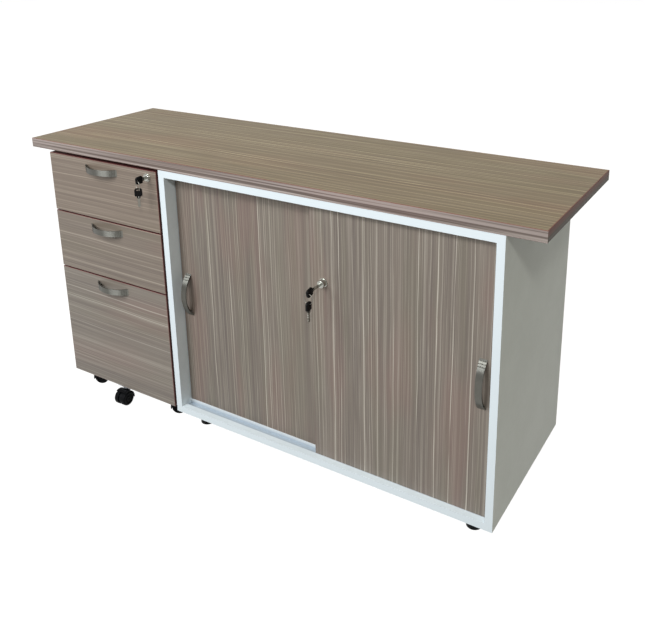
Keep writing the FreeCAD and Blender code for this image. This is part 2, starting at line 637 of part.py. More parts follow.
def pedestal_bottom():
    """Bottom board between the sides, notched for the filing drawer's castor bracket."""
    board = block(PEDESTAL_LEFT + CARCASS_BOARD, PEDESTAL_RIGHT - CARCASS_BOARD, CARCASS_FRONT,
                  PEDESTAL_BACK - BACK_BOARD, PEDESTAL_BOTTOM, PEDESTAL_BOTTOM + CARCASS_BOARD)
    middle = PEDESTAL_MIDDLE + FIFTH_CASTOR_OFFSET_X
    width, depth = BRACKET_NOTCH
    notch = block(middle - width / 2, middle + width / 2, CARCASS_FRONT, CARCASS_FRONT + depth,
                  PEDESTAL_BOTTOM, PEDESTAL_BOTTOM + CARCASS_BOARD)
    return board.cut(notch)


def pedestal_back():
    """Back panel between the sides, under the top board."""
    return block(PEDESTAL_LEFT + CARCASS_BOARD, PEDESTAL_RIGHT - CARCASS_BOARD,
                 PEDESTAL_BACK - BACK_BOARD, PEDESTAL_BACK, PEDESTAL_BOTTOM,
                 PEDESTAL_TOP - CARCASS_BOARD)


# ---------------------------------------------------------------- drawers
def drawer_front(name):
    """Banded front panel over the carcass edges."""
    low, high = SPANS[name]
    board = block(PEDESTAL_LEFT, PEDESTAL_RIGHT, FRONT, FRONT + DRAWER_FRONT, low, high)
    board = rounded(board, ARRIS, on_plane("y", FRONT))
    if name == "top":
        board = board.cut(lock_panel_bore(DRAWER_LOCK_X, FRONT, DRAWER_LOCK_Z, DRAWER_FRONT))
    return board


def box_base(name):
    """Height of a drawer box's underside."""
    return SPANS[name][0] + BOX_LIFT[name]


def drawer_box(name):
    """Two sides, a back and a bottom, fixed behind the drawer front."""
    base = box_base(name)
    top = base + BOX_HEIGHTS[name]
    left_inner, right_inner = BOX_LEFT + BOX_BOARD, BOX_RIGHT - BOX_BOARD
    return [block(BOX_LEFT, left_inner, CARCASS_FRONT, BOX_BACK, base, top),
            block(right_inner, BOX_RIGHT, CARCASS_FRONT, BOX_BACK, base, top),
            block(left_inner, right_inner, BOX_BACK - BOX_BOARD, BOX_BACK, base, top),
            block(left_inner, right_inner, CARCASS_FRONT, BOX_BACK - BOX_BOARD, base,
                  base + BOX_BOTTOM)]


def slide_section(web, tips, half_height):
    """C section in XZ: a web at x = web and flanges reaching to x = tips."""
    sheet = SLIDE_SHEET if tips > web else -SLIDE_SHEET
    top = half_height
    inner = half_height - SLIDE_SHEET
    return [V(web, 0, -top), V(tips, 0, -top), V(tips, 0, -inner), V(web + sheet, 0, -inner),
            V(web + sheet, 0, inner), V(tips, 0, inner), V(tips, 0, top), V(web, 0, top)]


def lipped_section(web, tips, half_height, lip):
    """The same C section with lips turned in at the flange ends."""
    sheet = SLIDE_SHEET if tips > web else -SLIDE_SHEET
    top = half_height
    inner = half_height - SLIDE_SHEET
    low = top - lip
    upper = [V(web + sheet, 0, inner), V(tips - sheet, 0, inner), V(tips - sheet, 0, low),
             V(tips, 0, low), V(tips, 0, top), V(web, 0, top)]
    lower = [V(p.x, 0, -p.z) for p in reversed(upper)]
    return lower + upper


def slide_member(section, name, length):
    """The pair of slide members of one drawer, mirrored left and right."""
    z = box_base(name) + SLIDE_LIFT[name]
    y = CARCASS_FRONT + SLIDE_SETBACK
    left = polygon_face(section).extrude(V(0, length, 0))
    right = left.mirror(V(0, 0, 0), V(1, 0, 0))
    return [moved(left, PEDESTAL_LEFT + CARCASS_BOARD, y, z),
            moved(right, PEDESTAL_RIGHT - CARCASS_BOARD, y, z)]


def slide_outer_members():
    """Outer members of the three slide pairs, fixed to the carcass sides."""
    members = []
    for name in FRONT_HEIGHTS:
        members += slide_member(lipped_section(*SLIDE_OUTER), name, SLIDE_LENGTH)
    return members


def slide_middle_members(name):
    """Middle members, which ride half of the drawer's way."""
    return slide_member(slide_section(*SLIDE_MIDDLE), name, SLIDE_MIDDLE_LENGTH)


def slide_inner_members(name):
    """Inner members, fixed to the drawer box's sides."""
    return slide_member(slide_section(*SLIDE_INNER), name, SLIDE_LENGTH)


def file_hanging_rails():
    """Folded rails over the filing drawer's side boards."""
    top = box_base("bottom") + BOX_HEIGHTS["bottom"]
    low, high = top - FILE_RAIL_HANG, top + FILE_RAIL_STAND
    y0 = CARCASS_FRONT + FILE_RAIL_END_GAP
    y1 = BOX_BACK - BOX_BOARD - FILE_RAIL_END_GAP
    rails = []
    for outer, inner in ((BOX_LEFT, BOX_LEFT + BOX_BOARD), (BOX_RIGHT, BOX_RIGHT - BOX_BOARD)):
        lip = inner + (FILE_RAIL_SHEET if inner > outer else -FILE_RAIL_SHEET)
        saddle = top + FILE_RAIL_SHEET
        section = [V(outer, y0, top), V(inner, y0, top), V(inner, y0, low), V(lip, y0, low),
                   V(lip, y0, high), V(inner, y0, high), V(inner, y0, saddle),
                   V(outer, y0, saddle)]
        rails.append(polygon_face(section).extrude(V(0, y1 - y0, 0)))
    return rails


def drawer_cam():
    """Flat cam on the drawer lock's plug shaft, behind the drawer front."""
    plug_end = FRONT - DRAWER_LOCK["stand"] + PLUG_DEPTH
    shaft_end = CARCASS_FRONT + CAM_SHAFT_END
    shaft = rod(CAM_SHAFT_RADIUS, V(DRAWER_LOCK_X, shaft_end, DRAWER_LOCK_Z), V(0, -1, 0),
                shaft_end - plug_end + CAM_SHAFT_SINK)
    y, half = CARCASS_FRONT + CAM_GAP, CAM_WIDTH / 2
    arm = block(DRAWER_LOCK_X - CAM_REACH, DRAWER_LOCK_X + half, y, y + CAM_THICKNESS,
                DRAWER_LOCK_Z - half, DRAWER_LOCK_Z + half)
    return fused([shaft, rounded(arm, CAM_ROUND, along("y"))])


# ---------------------------------------------------------------- castors
def castor_wheels():
    """Twin wheels about the axle along Y, each with a rounded tread and a dished outer face."""
    r, tread, hub = WHEEL_RADIUS, WHEEL_ROUND, WHEEL_HUB_RADIUS
    bore = CASTOR_AXLE_RADIUS + RUNNING_GAP
    bend = tread * (1 - math.sqrt(0.5))
    y0, y1 = WHEEL_SPACE, WHEEL_SPACE + WHEEL_WIDTH
    sunk, rim = y1 - WHEEL_DISH, r - tread - WHEEL_RIM
    shoulder = Part.Arc(V(0, y1 - tread, r), V(0, y1 - bend, r - bend), V(0, y1, r - tread))
    points = [V(0, y1, r - tread), V(0, y1, rim), V(0, sunk, rim - WHEEL_DISH_SLOPE),
              V(0, sunk, hub + WHEEL_DISH_SLOPE), V(0, y1, hub), V(0, y1, bore), V(0, y0, bore),
              V(0, y0, r), V(0, y1 - tread, r)]
    wire = Part.Wire([shoulder.toShape()] + Part.makePolygon(points).Edges)
    wheel = Part.Face(wire).revolve(V(0, 0, 0), V(0, 1, 0), 360)
    return [wheel, wheel.mirror(V(0, 0, 0), V(0, 1, 0))]


def castor_hood():
    """Body between the wheels with a hood over them and a boss for the swivel pin.

    The axle is the origin, along Y, and the swivel pin stands at x = -CASTOR_TRAIL.
    """
    def disc(radius, half):
        return rod(radius, V(0, -half, 0), V(0, 1, 0), 2 * half)

    web_half = WHEEL_SPACE - CASTOR_WEB_GAP
    hood_inner = WHEEL_RADIUS + HOOD_CLEARANCE
    hood_outer = hood_inner + HOOD_THICKNESS
    half = WHEEL_SPACE + WHEEL_WIDTH - HOOD_SETBACK
    # the hood covers the wheels' top and the side of the swivel pin
    keep = polygon_face([V(0, -50, 0), V(-40, -50, -9), V(-40, -50, 40), V(18, -50, 40)])
    keep = keep.extrude(V(0, 100, 0))
    hood = disc(hood_outer, half).cut(disc(hood_inner, half + 1)).common(keep)
    rim = disc(hood_outer, web_half).common(keep)
    boss_top = CASTOR_HEIGHT - WHEEL_RADIUS - CASTOR_BOSS_GAP
    boss = rod(CASTOR_BOSS_RADIUS, V(-CASTOR_TRAIL, 0, CASTOR_BOSS_FROM), V(0, 0, 1),
               boss_top - CASTOR_BOSS_FROM)
    boss = boss.cut(disc(hood_inner, 2 * half).cut(disc(hood_inner, web_half)))
    pin = rod(CASTOR_PIN_RADIUS, V(-CASTOR_TRAIL, 0, boss_top - 1), V(0, 0, 1),
              CASTOR_PIN_LENGTH + 1)
    body = fused([disc(CASTOR_WEB_RADIUS, web_half), hood, rim, boss, pin])
    axle_half = WHEEL_SPACE + WHEEL_WIDTH - CASTOR_AXLE_INSET
    return [body.cut(disc(CASTOR_AXLE_RADIUS, half + 1)), disc(CASTOR_AXLE_RADIUS, axle_half)]


def castor_plate():
    """Fixing plate with a pin bearing below it and four screw heads, its top at z = 0."""
    half, thick, up = CASTOR_PLATE / 2, CASTOR_PLATE_THICKNESS, V(0, 0, 1)
    plate = rounded(block(-half, half, -half, half, -thick, 0), CASTOR_PLATE_ROUND, along("z"))
    radius, height = CASTOR_BEARING
    bearing = rod(radius, V(0, 0, -thick - height), up, height)
    hole = rod(CASTOR_PIN_RADIUS + RUNNING_GAP, V(0, 0, -thick - height - 1), up, 10)
    radius, height = CASTOR_SCREW_HEAD
    at = half - CASTOR_SCREW_INSET
    heads = [rod(radius, V(x, y, -thick - height), up, height)
             for x in (-at, at) for y in (-at, at)]
    return fused([plate, bearing] + heads).cut(hole)


def castor_places():
    """Swivel pin position of each castor: four under the carcass, the fifth under the front."""
    left, right = PEDESTAL_LEFT + CASTOR_INSET_X, PEDESTAL_RIGHT - CASTOR_INSET_X
    near, far = FRONT + CASTOR_INSET_FRONT, PEDESTAL_BACK - CASTOR_INSET_BACK
    fifth = (PEDESTAL_MIDDLE + FIFTH_CASTOR_OFFSET_X, FRONT + FIFTH_CASTOR_FROM_FRONT)
    return {1: (left, near), 2: (right, near), 3: (left, far), 4: (right, far), 5: fifth}


def at_castor(shape, number):
    """A copy of a shape from the axle's frame, trailing in the castor's direction."""
    x, y = castor_places()[number]
    ahead = moved(shape, CASTOR_TRAIL, 0, WHEEL_RADIUS)
    return moved(turned(ahead, CASTOR_TRAIL_ANGLES[number]), x, y, 0)


def castor_plates():
    """Plates of the four carcass castors."""
    plate = castor_plate()
    return [moved(plate, x, y, CASTOR_HEIGHT) for number, (x, y) in castor_places().items()
            if number != 5]


def drawer_castor_bracket():
    """Angle under the filing drawer's front that carries the fifth castor's pin."""
    x, y = castor_places()[5]
    left, right = x - BRACKET_WIDTH / 2, x + BRACKET_WIDTH / 2
    low, back = PEDESTAL_BOTTOM - BRACKET_SHEET, CARCASS_FRONT + BRACKET_SHEET
    base = block(left, right, FRONT + BRACKET_SETBACK, back, low, PEDESTAL_BOTTOM)
    upright = block(left, right, CARCASS_FRONT, back, low, PEDESTAL_BOTTOM + BRACKET_RISE)
    radius, height = BRACKET_BEARING
    bearing = rod(radius, V(x, y, low - height), V(0, 0, 1), height)
    hole = rod(CASTOR_PIN_RADIUS + RUNNING_GAP, V(x, y, low - height - 1), V(0, 0, 1), 10)
    return fused([base, upright, bearing]).cut(hole)


# ---------------------------------------------------------------- assembly
def cabinet_nodes():
    """Worktop, carcass, tracks and feet."""
    return {
        "worktop_board": [worktop_board()],
        "worktop_edge_bands": worktop_edge_bands(),
        "cabinet_side_left": [cabinet_side(CABINET_LEFT, INSIDE_LEFT)],
        "cabinet_side_right": [cabinet_side(CABINET_RIGHT, INSIDE_RIGHT)],
        "cabinet_top": [cabinet_top()],
        "cabinet_bottom": [cabinet_bottom()],
        "cabinet_back": [cabinet_back()],
        "cabinet_shelf": [cabinet_shelf()],
        "shelf_pins": shelf_pins(),
        "upper_track": [upper_track()],
        "lower_track": [lower_track()],
        "cabinet_feet": cabinet_feet(),
    }


def door_nodes():
    """Rear door on the left, front door with its lock on the right."""
    left = INSIDE_LEFT + DOOR_SIDE_GAP
    right = INSIDE_RIGHT - DOOR_SIDE_GAP - DOOR_WIDTH
    left_glides = door_glides(left, REAR_DOOR_FACE)
    right_glides = door_glides(right, FRONT_DOOR_FACE)
    right_board = door_board(right, FRONT_DOOR_FACE, right_glides)
    lock = (DOOR_LOCK_X, FRONT_DOOR_FACE, DOOR_LOCK_Z)
    return {
        "left_door_board": [door_board(left, REAR_DOOR_FACE, left_glides)],
        "left_door_handle": [door_handle(INSIDE_LEFT + HANDLE_INSET, REAR_DOOR_FACE)],
        "left_door_glides": left_glides,
        "right_door_board": [right_board.cut(lock_panel_bore(*lock, DOOR_THICKNESS))],
        "right_door_handle": [door_handle(INSIDE_RIGHT - HANDLE_INSET, FRONT_DOOR_FACE)],
        "right_door_glides": right_glides,
        "door_lock_barrel": [lock_barrel(*lock, DOOR_LOCK, DOOR_THICKNESS)],
        "door_lock_plug": lock_plug(*lock, DOOR_LOCK),
        "door_key_head": [drooping_head(*lock, DOOR_LOCK)],
        "door_spare_key": hanging_spare(*lock, DOOR_LOCK),
    }


def pedestal_nodes():
    """Carcass and the fixed members of its slides and castors."""
    return {
        "pedestal_side_left": [pedestal_side(PEDESTAL_LEFT, PEDESTAL_LEFT + CARCASS_BOARD)],
        "pedestal_side_right": [pedestal_side(PEDESTAL_RIGHT, PEDESTAL_RIGHT - CARCASS_BOARD)],
        "pedestal_top": [pedestal_top()],
        "pedestal_bottom": [pedestal_bottom()],
        "pedestal_back": [pedestal_back()],
        "slide_outer_members": slide_outer_members(),
        "castor_plates": castor_plates(),
    }


def drawer_nodes():
    """Front, box, handle and slides of each drawer, with the lock and the filing fittings."""
    nodes = {}
    for name in FRONT_HEIGHTS:
        nodes[name + "_drawer_front"] = [drawer_front(name)]
        nodes[name + "_drawer_box"] = drawer_box(name)
        nodes[name + "_drawer_handle"] = [drawer_handle(name)]
        nodes[name + "_slide_inner"] = slide_inner_members(name)
        nodes[name + "_slide_middle"] = slide_middle_members(name)
    nodes["file_hanging_rails"] = file_hanging_rails()
    nodes["drawer_castor_bracket"] = [drawer_castor_bracket()]
    lock = (DRAWER_LOCK_X, FRONT, DRAWER_LOCK_Z)
    barrel = lock_barrel(*lock, DRAWER_LOCK, DRAWER_FRONT)
    shaft_bore = rod(CAM_SHAFT_RADIUS + RUNNING_GAP, V(DRAWER_LOCK_X, FRONT, DRAWER_LOCK_Z),
                     V(0, 1, 0), DRAWER_FRONT + CAM_SHAFT_END)
    nodes["drawer_lock_barrel"] = [barrel.cut(shaft_bore)]
    plug, blade = lock_plug(*lock, DRAWER_LOCK)
    nodes["drawer_lock_plug"] = [fused([plug, drawer_cam()]), blade]
    nodes["drawer_key_head"] = [drooping_head(*lock, DRAWER_LOCK)]
    nodes["drawer_spare_key"] = hanging_spare(*lock, DRAWER_LOCK)
    return nodes


def castor_nodes():
    """Swivel body and twin wheels of each castor."""
    nodes = {}
    for number in CASTOR_TRAIL_ANGLES:
        nodes[f"castor_{number}_housing"] = [at_castor(s, number) for s in castor_hood()]
        nodes[f"castor_{number}_wheels"] = [at_castor(s, number) for s in castor_wheels()]
    return nodes


def main():
    """Write one STEP file per node."""
    nodes = {}
    for group in (cabinet_nodes(), door_nodes(), pedestal_nodes(), drawer_nodes(), castor_nodes()):
        nodes.update(group)
    os.makedirs("parts", exist_ok=True)
    whole = FreeCAD.BoundBox()
    triangles = 0
    for name, solids in nodes.items():
        for solid in solids:
            if not solid.isValid() or len(solid.Solids) != 1:
                print("check", name, solid.isValid(), len(solid.Solids))
            triangles += len(solid.tessellate(0.3)[1])
        shape = Part.makeCompound(solids) if len(solids) > 1 else solids[0]
        shape.exportStep(f"parts/{name}.step")
        whole.add(shape.BoundBox)
    print(len(nodes), "nodes,", triangles, "triangles at 0.3 mm")
    print("box X %.1f..%.1f Y %.1f..%.1f Z %.1f..%.1f"
          % (whole.XMin, whole.XMax, whole.YMin, whole.YMax, whole.ZMin, whole.ZMax))


main()
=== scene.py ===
# Office credenza: worktop, sliding-door cabinet and mobile drawer pedestal.
# The frame is loaded as it stands; finishes, small hardware, lights and camera are added here.
import json
import math

import bmesh
import bpy
from mathutils import Matrix, Vector


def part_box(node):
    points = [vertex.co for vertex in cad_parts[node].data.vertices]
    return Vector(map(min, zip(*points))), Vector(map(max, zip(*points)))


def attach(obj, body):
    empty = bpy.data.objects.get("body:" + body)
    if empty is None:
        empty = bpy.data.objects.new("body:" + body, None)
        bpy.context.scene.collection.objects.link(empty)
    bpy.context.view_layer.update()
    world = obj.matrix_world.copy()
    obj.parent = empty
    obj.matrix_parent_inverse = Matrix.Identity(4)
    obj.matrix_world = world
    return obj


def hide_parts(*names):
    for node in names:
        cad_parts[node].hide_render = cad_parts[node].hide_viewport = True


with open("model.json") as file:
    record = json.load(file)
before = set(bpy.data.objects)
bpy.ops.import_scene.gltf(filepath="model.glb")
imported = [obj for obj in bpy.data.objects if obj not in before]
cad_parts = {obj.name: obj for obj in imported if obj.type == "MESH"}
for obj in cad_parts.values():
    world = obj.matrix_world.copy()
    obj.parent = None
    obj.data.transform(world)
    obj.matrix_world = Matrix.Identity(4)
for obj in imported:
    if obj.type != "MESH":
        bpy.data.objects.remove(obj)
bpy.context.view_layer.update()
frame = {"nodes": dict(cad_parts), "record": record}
nodes = frame["nodes"]
mm = 0.001
hands = ("left", "right")
levels = ("bottom", "middle", "top")
scene = bpy.context.scene
scene.view_settings.view_transform = "Standard"


# ---- shader helpers
def tint(red, green, blue):
    # display values 0-255 to scene colour
    def linear(value):
        value /= 255
        return value / 12.92 if value <= 0.04045 else ((value + 0.055) / 1.055) ** 2.4
    return (linear(red), linear(green), linear(blue), 1.0)


def addNode(tree, kind, values=None, **settings):
    # a value is a number, a fixed vector or colour, or a socket of another node
    node = tree.nodes.new(kind)
    for key, value in settings.items():
        setattr(node, key, value)
    for key, value in (values or {}).items():
        if isinstance(value, bpy.types.NodeSocket):
            tree.links.new(value, node.inputs[key])
        else:
            node.inputs[key].default_value = value
    return node


def wire(tree, source, target):
    tree.links.new(source, target)


def calc(tree, operation, first, second=None, clamp=False):
    values = {0: first} if second is None else {0: first, 1: second}
    return addNode(tree, "ShaderNodeMath", values, operation=operation,
                   use_clamp=clamp).outputs[0]


def vectorCalc(tree, operation, first, second):
    return addNode(tree, "ShaderNodeVectorMath", {0: first, 1: second},
                   operation=operation).outputs[0]


def blendColor(tree, factor, first, second, mode="MIX"):
    # a Mix node keeps its colours in inputs 6 and 7 and its result in output 2
    return addNode(tree, "ShaderNodeMix", {0: factor, 6: first, 7: second}, data_type="RGBA",
                   blend_type=mode).outputs[2]


def blendVector(tree, factor, first, second):
    # and its vectors in inputs 4 and 5 and their result in output 1
    return addNode(tree, "ShaderNodeMix", {0: factor, 4: first, 5: second},
                   data_type="VECTOR").outputs[1]


def weigh(tree, *parts):
    # sum of several values, each times its own share
    total = None
    for value, share in parts:
        part = calc(tree, "MULTIPLY", value, share)
        total = part if total is None else calc(tree, "ADD", total, part)
    return total


def smoothStep(tree, value, low, high):
    values = {"Value": value, "From Min": low, "From Max": high}
    return addNode(tree, "ShaderNodeMapRange", values,
                   interpolation_type="SMOOTHSTEP").outputs["Result"]


def patch(tree, value, low, high, strength):
    # rises from 0 to a strength while the value goes from low to high
    return calc(tree, "MULTIPLY", smoothStep(tree, value, low, high), strength)


def beyond(tree, value, limit):
    # 1 where the value is further from 0 than the limit
    return calc(tree, "GREATER_THAN", calc(tree, "ABSOLUTE", value), limit)


def axesOf(tree, vector):
    return addNode(tree, "ShaderNodeSeparateXYZ", {0: vector}).outputs


def noise(tree, vector, stretch, detail=1.0, roughness=0.5):
    values = {"Vector": vectorCalc(tree, "MULTIPLY", vector, stretch), "Scale": 1.0,
              "Detail": detail, "Roughness": roughness}
    return addNode(tree, "ShaderNodeTexNoise", values).outputs


def newGroup(name, inputs, outputs):
    tree = bpy.data.node_groups.new(name, "ShaderNodeTree")
    for title, kind, value in inputs:
        socket = tree.interface.new_socket(name=title, in_out="INPUT", socket_type=kind)
        if value is not None:
            socket.default_value = value
    for title, kind in outputs:
        tree.interface.new_socket(name=title, in_out="OUTPUT", socket_type=kind)
    return tree, addNode(tree, "NodeGroupInput"), addNode(tree, "NodeGroupOutput")


def useGroup(tree, group, values):
    return addNode(tree, "ShaderNodeGroup", values, node_tree=group).outputs


def newMaterial(name, roughness, **shader):
    material = bpy.data.materials.new(name)
    material.use_nodes = True
    tree = material.node_tree
    bsdf = tree.nodes["Principled BSDF"]
    bsdf.inputs["Roughness"].default_value = roughness
    for key, value in shader.items():
        bsdf.inputs[key.replace("_", " ")].default_value = value
    return material, tree, bsdf


def bumpInto(tree, bsdf, height, strength, distance=0.0002):
    values = {"Height": height, "Strength": strength, "Distance": distance}
    bump = addNode(tree, "ShaderNodeBump", values)
    wire(tree, bump.outputs["Normal"], bsdf.inputs["Normal"])


# ---- shared effects
# veneer print; each pattern is a noise with its marks per metre along and across the grain
grain = {
    "base": tint(128, 118, 109), "deep": tint(106, 96, 90), "light": tint(218, 210, 198),
    "blush": tint(139, 110, 103), "moss": tint(122, 116, 102),
    # along, across, and how far the lines stray: over the board, and over a hand's width
    "strays": ((1.3, 9.0, 0.012), (6.0, 45.0, 0.0030)),
    # along, across, detail, roughness
    "fibre": (4.0, 520.0, 2.0, 0.6), "strands": (0.9, 120.0, 2.0, 0.6),
    "broad": (0.8, 15.0, 1.0, 0.5), "bands": (2.4, 11.0, 1.0, 0.5), "tones": (1.4, 26.0, 1.0, 0.5),
    # how much fibre, strands and broad marks count, and where they turn from deep to base
    "shares": (0.35, 0.40, 0.25), "shade": (0.30, 0.56),
    # patches of another colour: start, end, strength
    "pink": (0.46, 0.66, 0.40), "green": (0.50, 0.66, 0.38), "haze": (0.54, 0.76, 0.16),
    # lines per metre, half width, brightness
    "lines": ((50.0, 0.0011, 1.0), (125.0, 0.0008, 0.55), (260.0, 0.0006, 0.35)),
    "darkLines": (110.0, 0.0011, 0.45),
    # a line's soft rim in half widths; how often it breaks, for the board and for each line
    # per metre; how far across a break reaches; where it fades; how unlike the lines are
    "rim": (0.25, 1.3), "breaks": (2.2, 0.02), "breakWide": 0.8, "fade": (0.32, 0.60),
    "unlike": 1.3,
    # how much fibre and lines stand up
    "relief": (0.6, 0.4),
}


def makeGrainGroup():
    # striped veneer print: the grain runs along the vector's first axis
    tree, given, made = newGroup(
        "zebraGrain",
        [("Vector", "NodeSocketVector", None), ("Streaks", "NodeSocketFloat", 1.0),
         ("Contrast", "NodeSocketFloat", 1.0)],
        [("Color", "NodeSocketColor"), ("Height", "NodeSocketFloat")])
    place = given.outputs["Vector"]
    for along, across, reach in grain["strays"]:
        # a noise's colour lies round 0.5, so that much comes off it
        drift = noise(tree, place, (along, across, across))["Color"]
        sway = vectorCalc(tree, "SUBTRACT", drift, (0.5, 0.5, 0.5))
        sway = vectorCalc(tree, "MULTIPLY", sway, (0.0, reach, reach))
        place = vectorCalc(tree, "ADD", place, sway)
    axes = axesOf(tree, place)
    sideways = calc(tree, "ADD", axes["Y"], axes["Z"])

    def marks(name):
        along, across, detail, roughness = grain[name]
        return noise(tree, place, (along, across, across), detail, roughness)["Fac"]

    def streaks(perMetre, half, strength):
        # thin lines at irregular distances, each with its own brightness along its length
        values = {"W": sideways, "Scale": perMetre, "Randomness": 1.0}
        cell = addNode(tree, "ShaderNodeTexVoronoi", values, voronoi_dimensions="1D",
                       feature="F1").outputs
        own = addNode(tree, "ShaderNodeSeparateColor", {0: cell["Color"]}).outputs[0]
        inner, outer = (share * half * perMetre for share in grain["rim"])
        line = calc(tree, "SUBTRACT", 1.0, smoothStep(tree, cell["Distance"], inner, outer))
        along = grain["breaks"][0] + perMetre * grain["breaks"][1]
        across = perMetre * grain["breakWide"]
        fade = noise(tree, place, (along, across, across), 2.0)["Fac"]
        line = calc(tree, "MULTIPLY", line, smoothStep(tree, fade, *grain["fade"]))
        power = calc(tree, "POWER", own, grain["unlike"])
        return calc(tree, "MULTIPLY", line, calc(tree, "MULTIPLY", power, strength))

    lines = None
    for values in grain["lines"]:
        line = streaks(*values)
        lines = line if lines is None else calc(tree, "MAXIMUM", lines, line)
    fibre, strands, broad = marks("fibre"), marks("strands"), marks("broad")
    shade = weigh(tree, *zip((fibre, strands, broad), grain["shares"]))
    color = blendColor(tree, smoothStep(tree, shade, *grain["shade"]), grain["deep"],
                       grain["base"])
    color = blendColor(tree, patch(tree, marks("bands"), *grain["pink"]), color, grain["blush"])
    color = blendColor(tree, patch(tree, marks("tones"), *grain["green"]), color, grain["moss"])
    color = blendColor(tree, streaks(*grain["darkLines"]), color, grain["deep"])
    color = blendColor(tree, patch(tree, strands, *grain["haze"]), color, grain["light"])
    amount = calc(tree, "MULTIPLY", lines, given.outputs["Streaks"], clamp=True)
    color = blendColor(tree, amount, color, grain["light"])
    color = blendColor(tree, given.outputs["Contrast"], grain["base"], color)
    wire(tree, color, made.inputs["Color"])
    wire(tree, weigh(tree, *zip((fibre, lines), grain["relief"])), made.inputs["Height"])
    return tree


def makeDirectionGroup():
    # puts the board's grain on the first axis, and turns it on the faces across the grain
    tree, given, made = newGroup(
        "grainDirection",
        [("Vector", "NodeSocketVector", None), ("Normal", "NodeSocketVector", None),
         ("Upright", "NodeSocketFloat", 0.0)],
        [("Vector", "NodeSocketVector")])
    place = axesOf(tree, given.outputs["Vector"])
    facing = axesOf(tree, given.outputs["Normal"])
    faceLimit = 0.7

    def order(axes):
        values = {index: place[axis] for index, axis in enumerate(axes)}
        return addNode(tree, "ShaderNodeCombineXYZ", values).outputs[0]

    level = blendVector(tree, beyond(tree, facing["X"], faceLimit), order("XYZ"), order("YXZ"))
    upright = blendVector(tree, beyond(tree, facing["Z"], faceLimit), order("ZXY"), order("XZY"))
    turned = blendVector(tree, given.outputs["Upright"], level, upright)
    wire(tree, turned, made.inputs["Vector"])
    return tree


# marks per metre, detail, roughness and share: patches of dust, and smears of handling
wear = ((9.0, 3.0, 0.6, 0.65), (60.0, 2.0, 0.5, 0.35))
turning = (0.35, 0.65)      # where a finish turns from its dark tone to its light one


def makeSurfaceGroup():
    # slight unevenness of a moulded or pressed surface, and its fine texture
    tree, given, made = newGroup(
        "surfaceLife",
        [("Vector", "NodeSocketVector", None), ("Roughness", "NodeSocketFloat", 0.4),
         ("Spread", "NodeSocketFloat", 0.1), ("Texture Size", "NodeSocketFloat", 900.0)],
        [("Roughness", "NodeSocketFloat"), ("Patch", "NodeSocketFloat"),
         ("Height", "NodeSocketFloat")])
    vector = given.outputs["Vector"]
    marks = [(noise(tree, vector, (size,) * 3, detail, roughness)["Fac"], share)
             for size, detail, roughness, share in wear]
    mixed = weigh(tree, *marks)
    offset = calc(tree, "MULTIPLY", calc(tree, "SUBTRACT", mixed, 0.5), given.outputs["Spread"])
    wire(tree, calc(tree, "ADD", given.outputs["Roughness"], offset), made.inputs["Roughness"])
    wire(tree, mixed, made.inputs["Patch"])
    values = {"Vector": vector, "Scale": given.outputs["Texture Size"], "Detail": 1.0}
    fine = addNode(tree, "ShaderNodeTexNoise", values).outputs["Fac"]
    wire(tree, fine, made.inputs["Height"])
    return tree


def makeBandGroup():
    # an edge band round a board: its thickness as a rim on the front and back, and its width
    # on the narrow sides
    tree, given, made = newGroup(
        "edgeBand",
        [("Vector", "NodeSocketVector", None), ("Normal", "NodeSocketVector", None),
         ("Low", "NodeSocketVector", None), ("High", "NodeSocketVector", None),
         ("Width", "NodeSocketFloat", 0.0012)],
        [("Rim", "NodeSocketFloat"), ("Side", "NodeSocketFloat")])
    below = vectorCalc(tree, "SUBTRACT", given.outputs["Vector"], given.outputs["Low"])
    above = vectorCalc(tree, "SUBTRACT", given.outputs["High"], given.outputs["Vector"])
    nearest = axesOf(tree, vectorCalc(tree, "MINIMUM", below, above))
    inside = calc(tree, "LESS_THAN", calc(tree, "MINIMUM", nearest["X"], nearest["Z"]),
                  given.outputs["Width"])
    frontal = calc(tree, "ABSOLUTE", axesOf(tree, given.outputs["Normal"])["Y"])
    sideLimit = 0.2
    wire(tree, calc(tree, "MULTIPLY", inside, calc(tree, "GREATER_THAN", frontal, sideLimit)),
         made.inputs["Rim"])
    wire(tree, calc(tree, "LESS_THAN", frontal, sideLimit), made.inputs["Side"])
    return tree


grainGroup = makeGrainGroup()
directionGroup = makeDirectionGroup()
surfaceGroup = makeSurfaceGroup()
bandGroup = makeBandGroup()
print("shared effects ready")


# ---- finishes
# roughness, how much it varies, and the scale of the fine texture
gloss = {
    "front": (0.42, 0.12, 900.0), "worktop": (0.40, 0.10, 700.0), "band": (0.38, 0.10, 700.0),
    "melamine": (0.40, 0.12, 900.0), "track": (0.35, 0.12, 900.0),
}


def newFinish(name, roughness, spread, size, **shader):
    # a material with uneven gloss; also returns its coordinates and its surface group
    material, tree, bsdf = newMaterial(name, roughness, **shader)
    place = addNode(tree, "ShaderNodeTexCoord").outputs
    life = useGroup(tree, surfaceGroup, {"Vector": place["Object"], "Roughness": roughness,
                                         "Spread": spread, "Texture Size": size})
    wire(tree, life["Roughness"], bsdf.inputs["Roughness"])
    return material, tree, bsdf, place, life


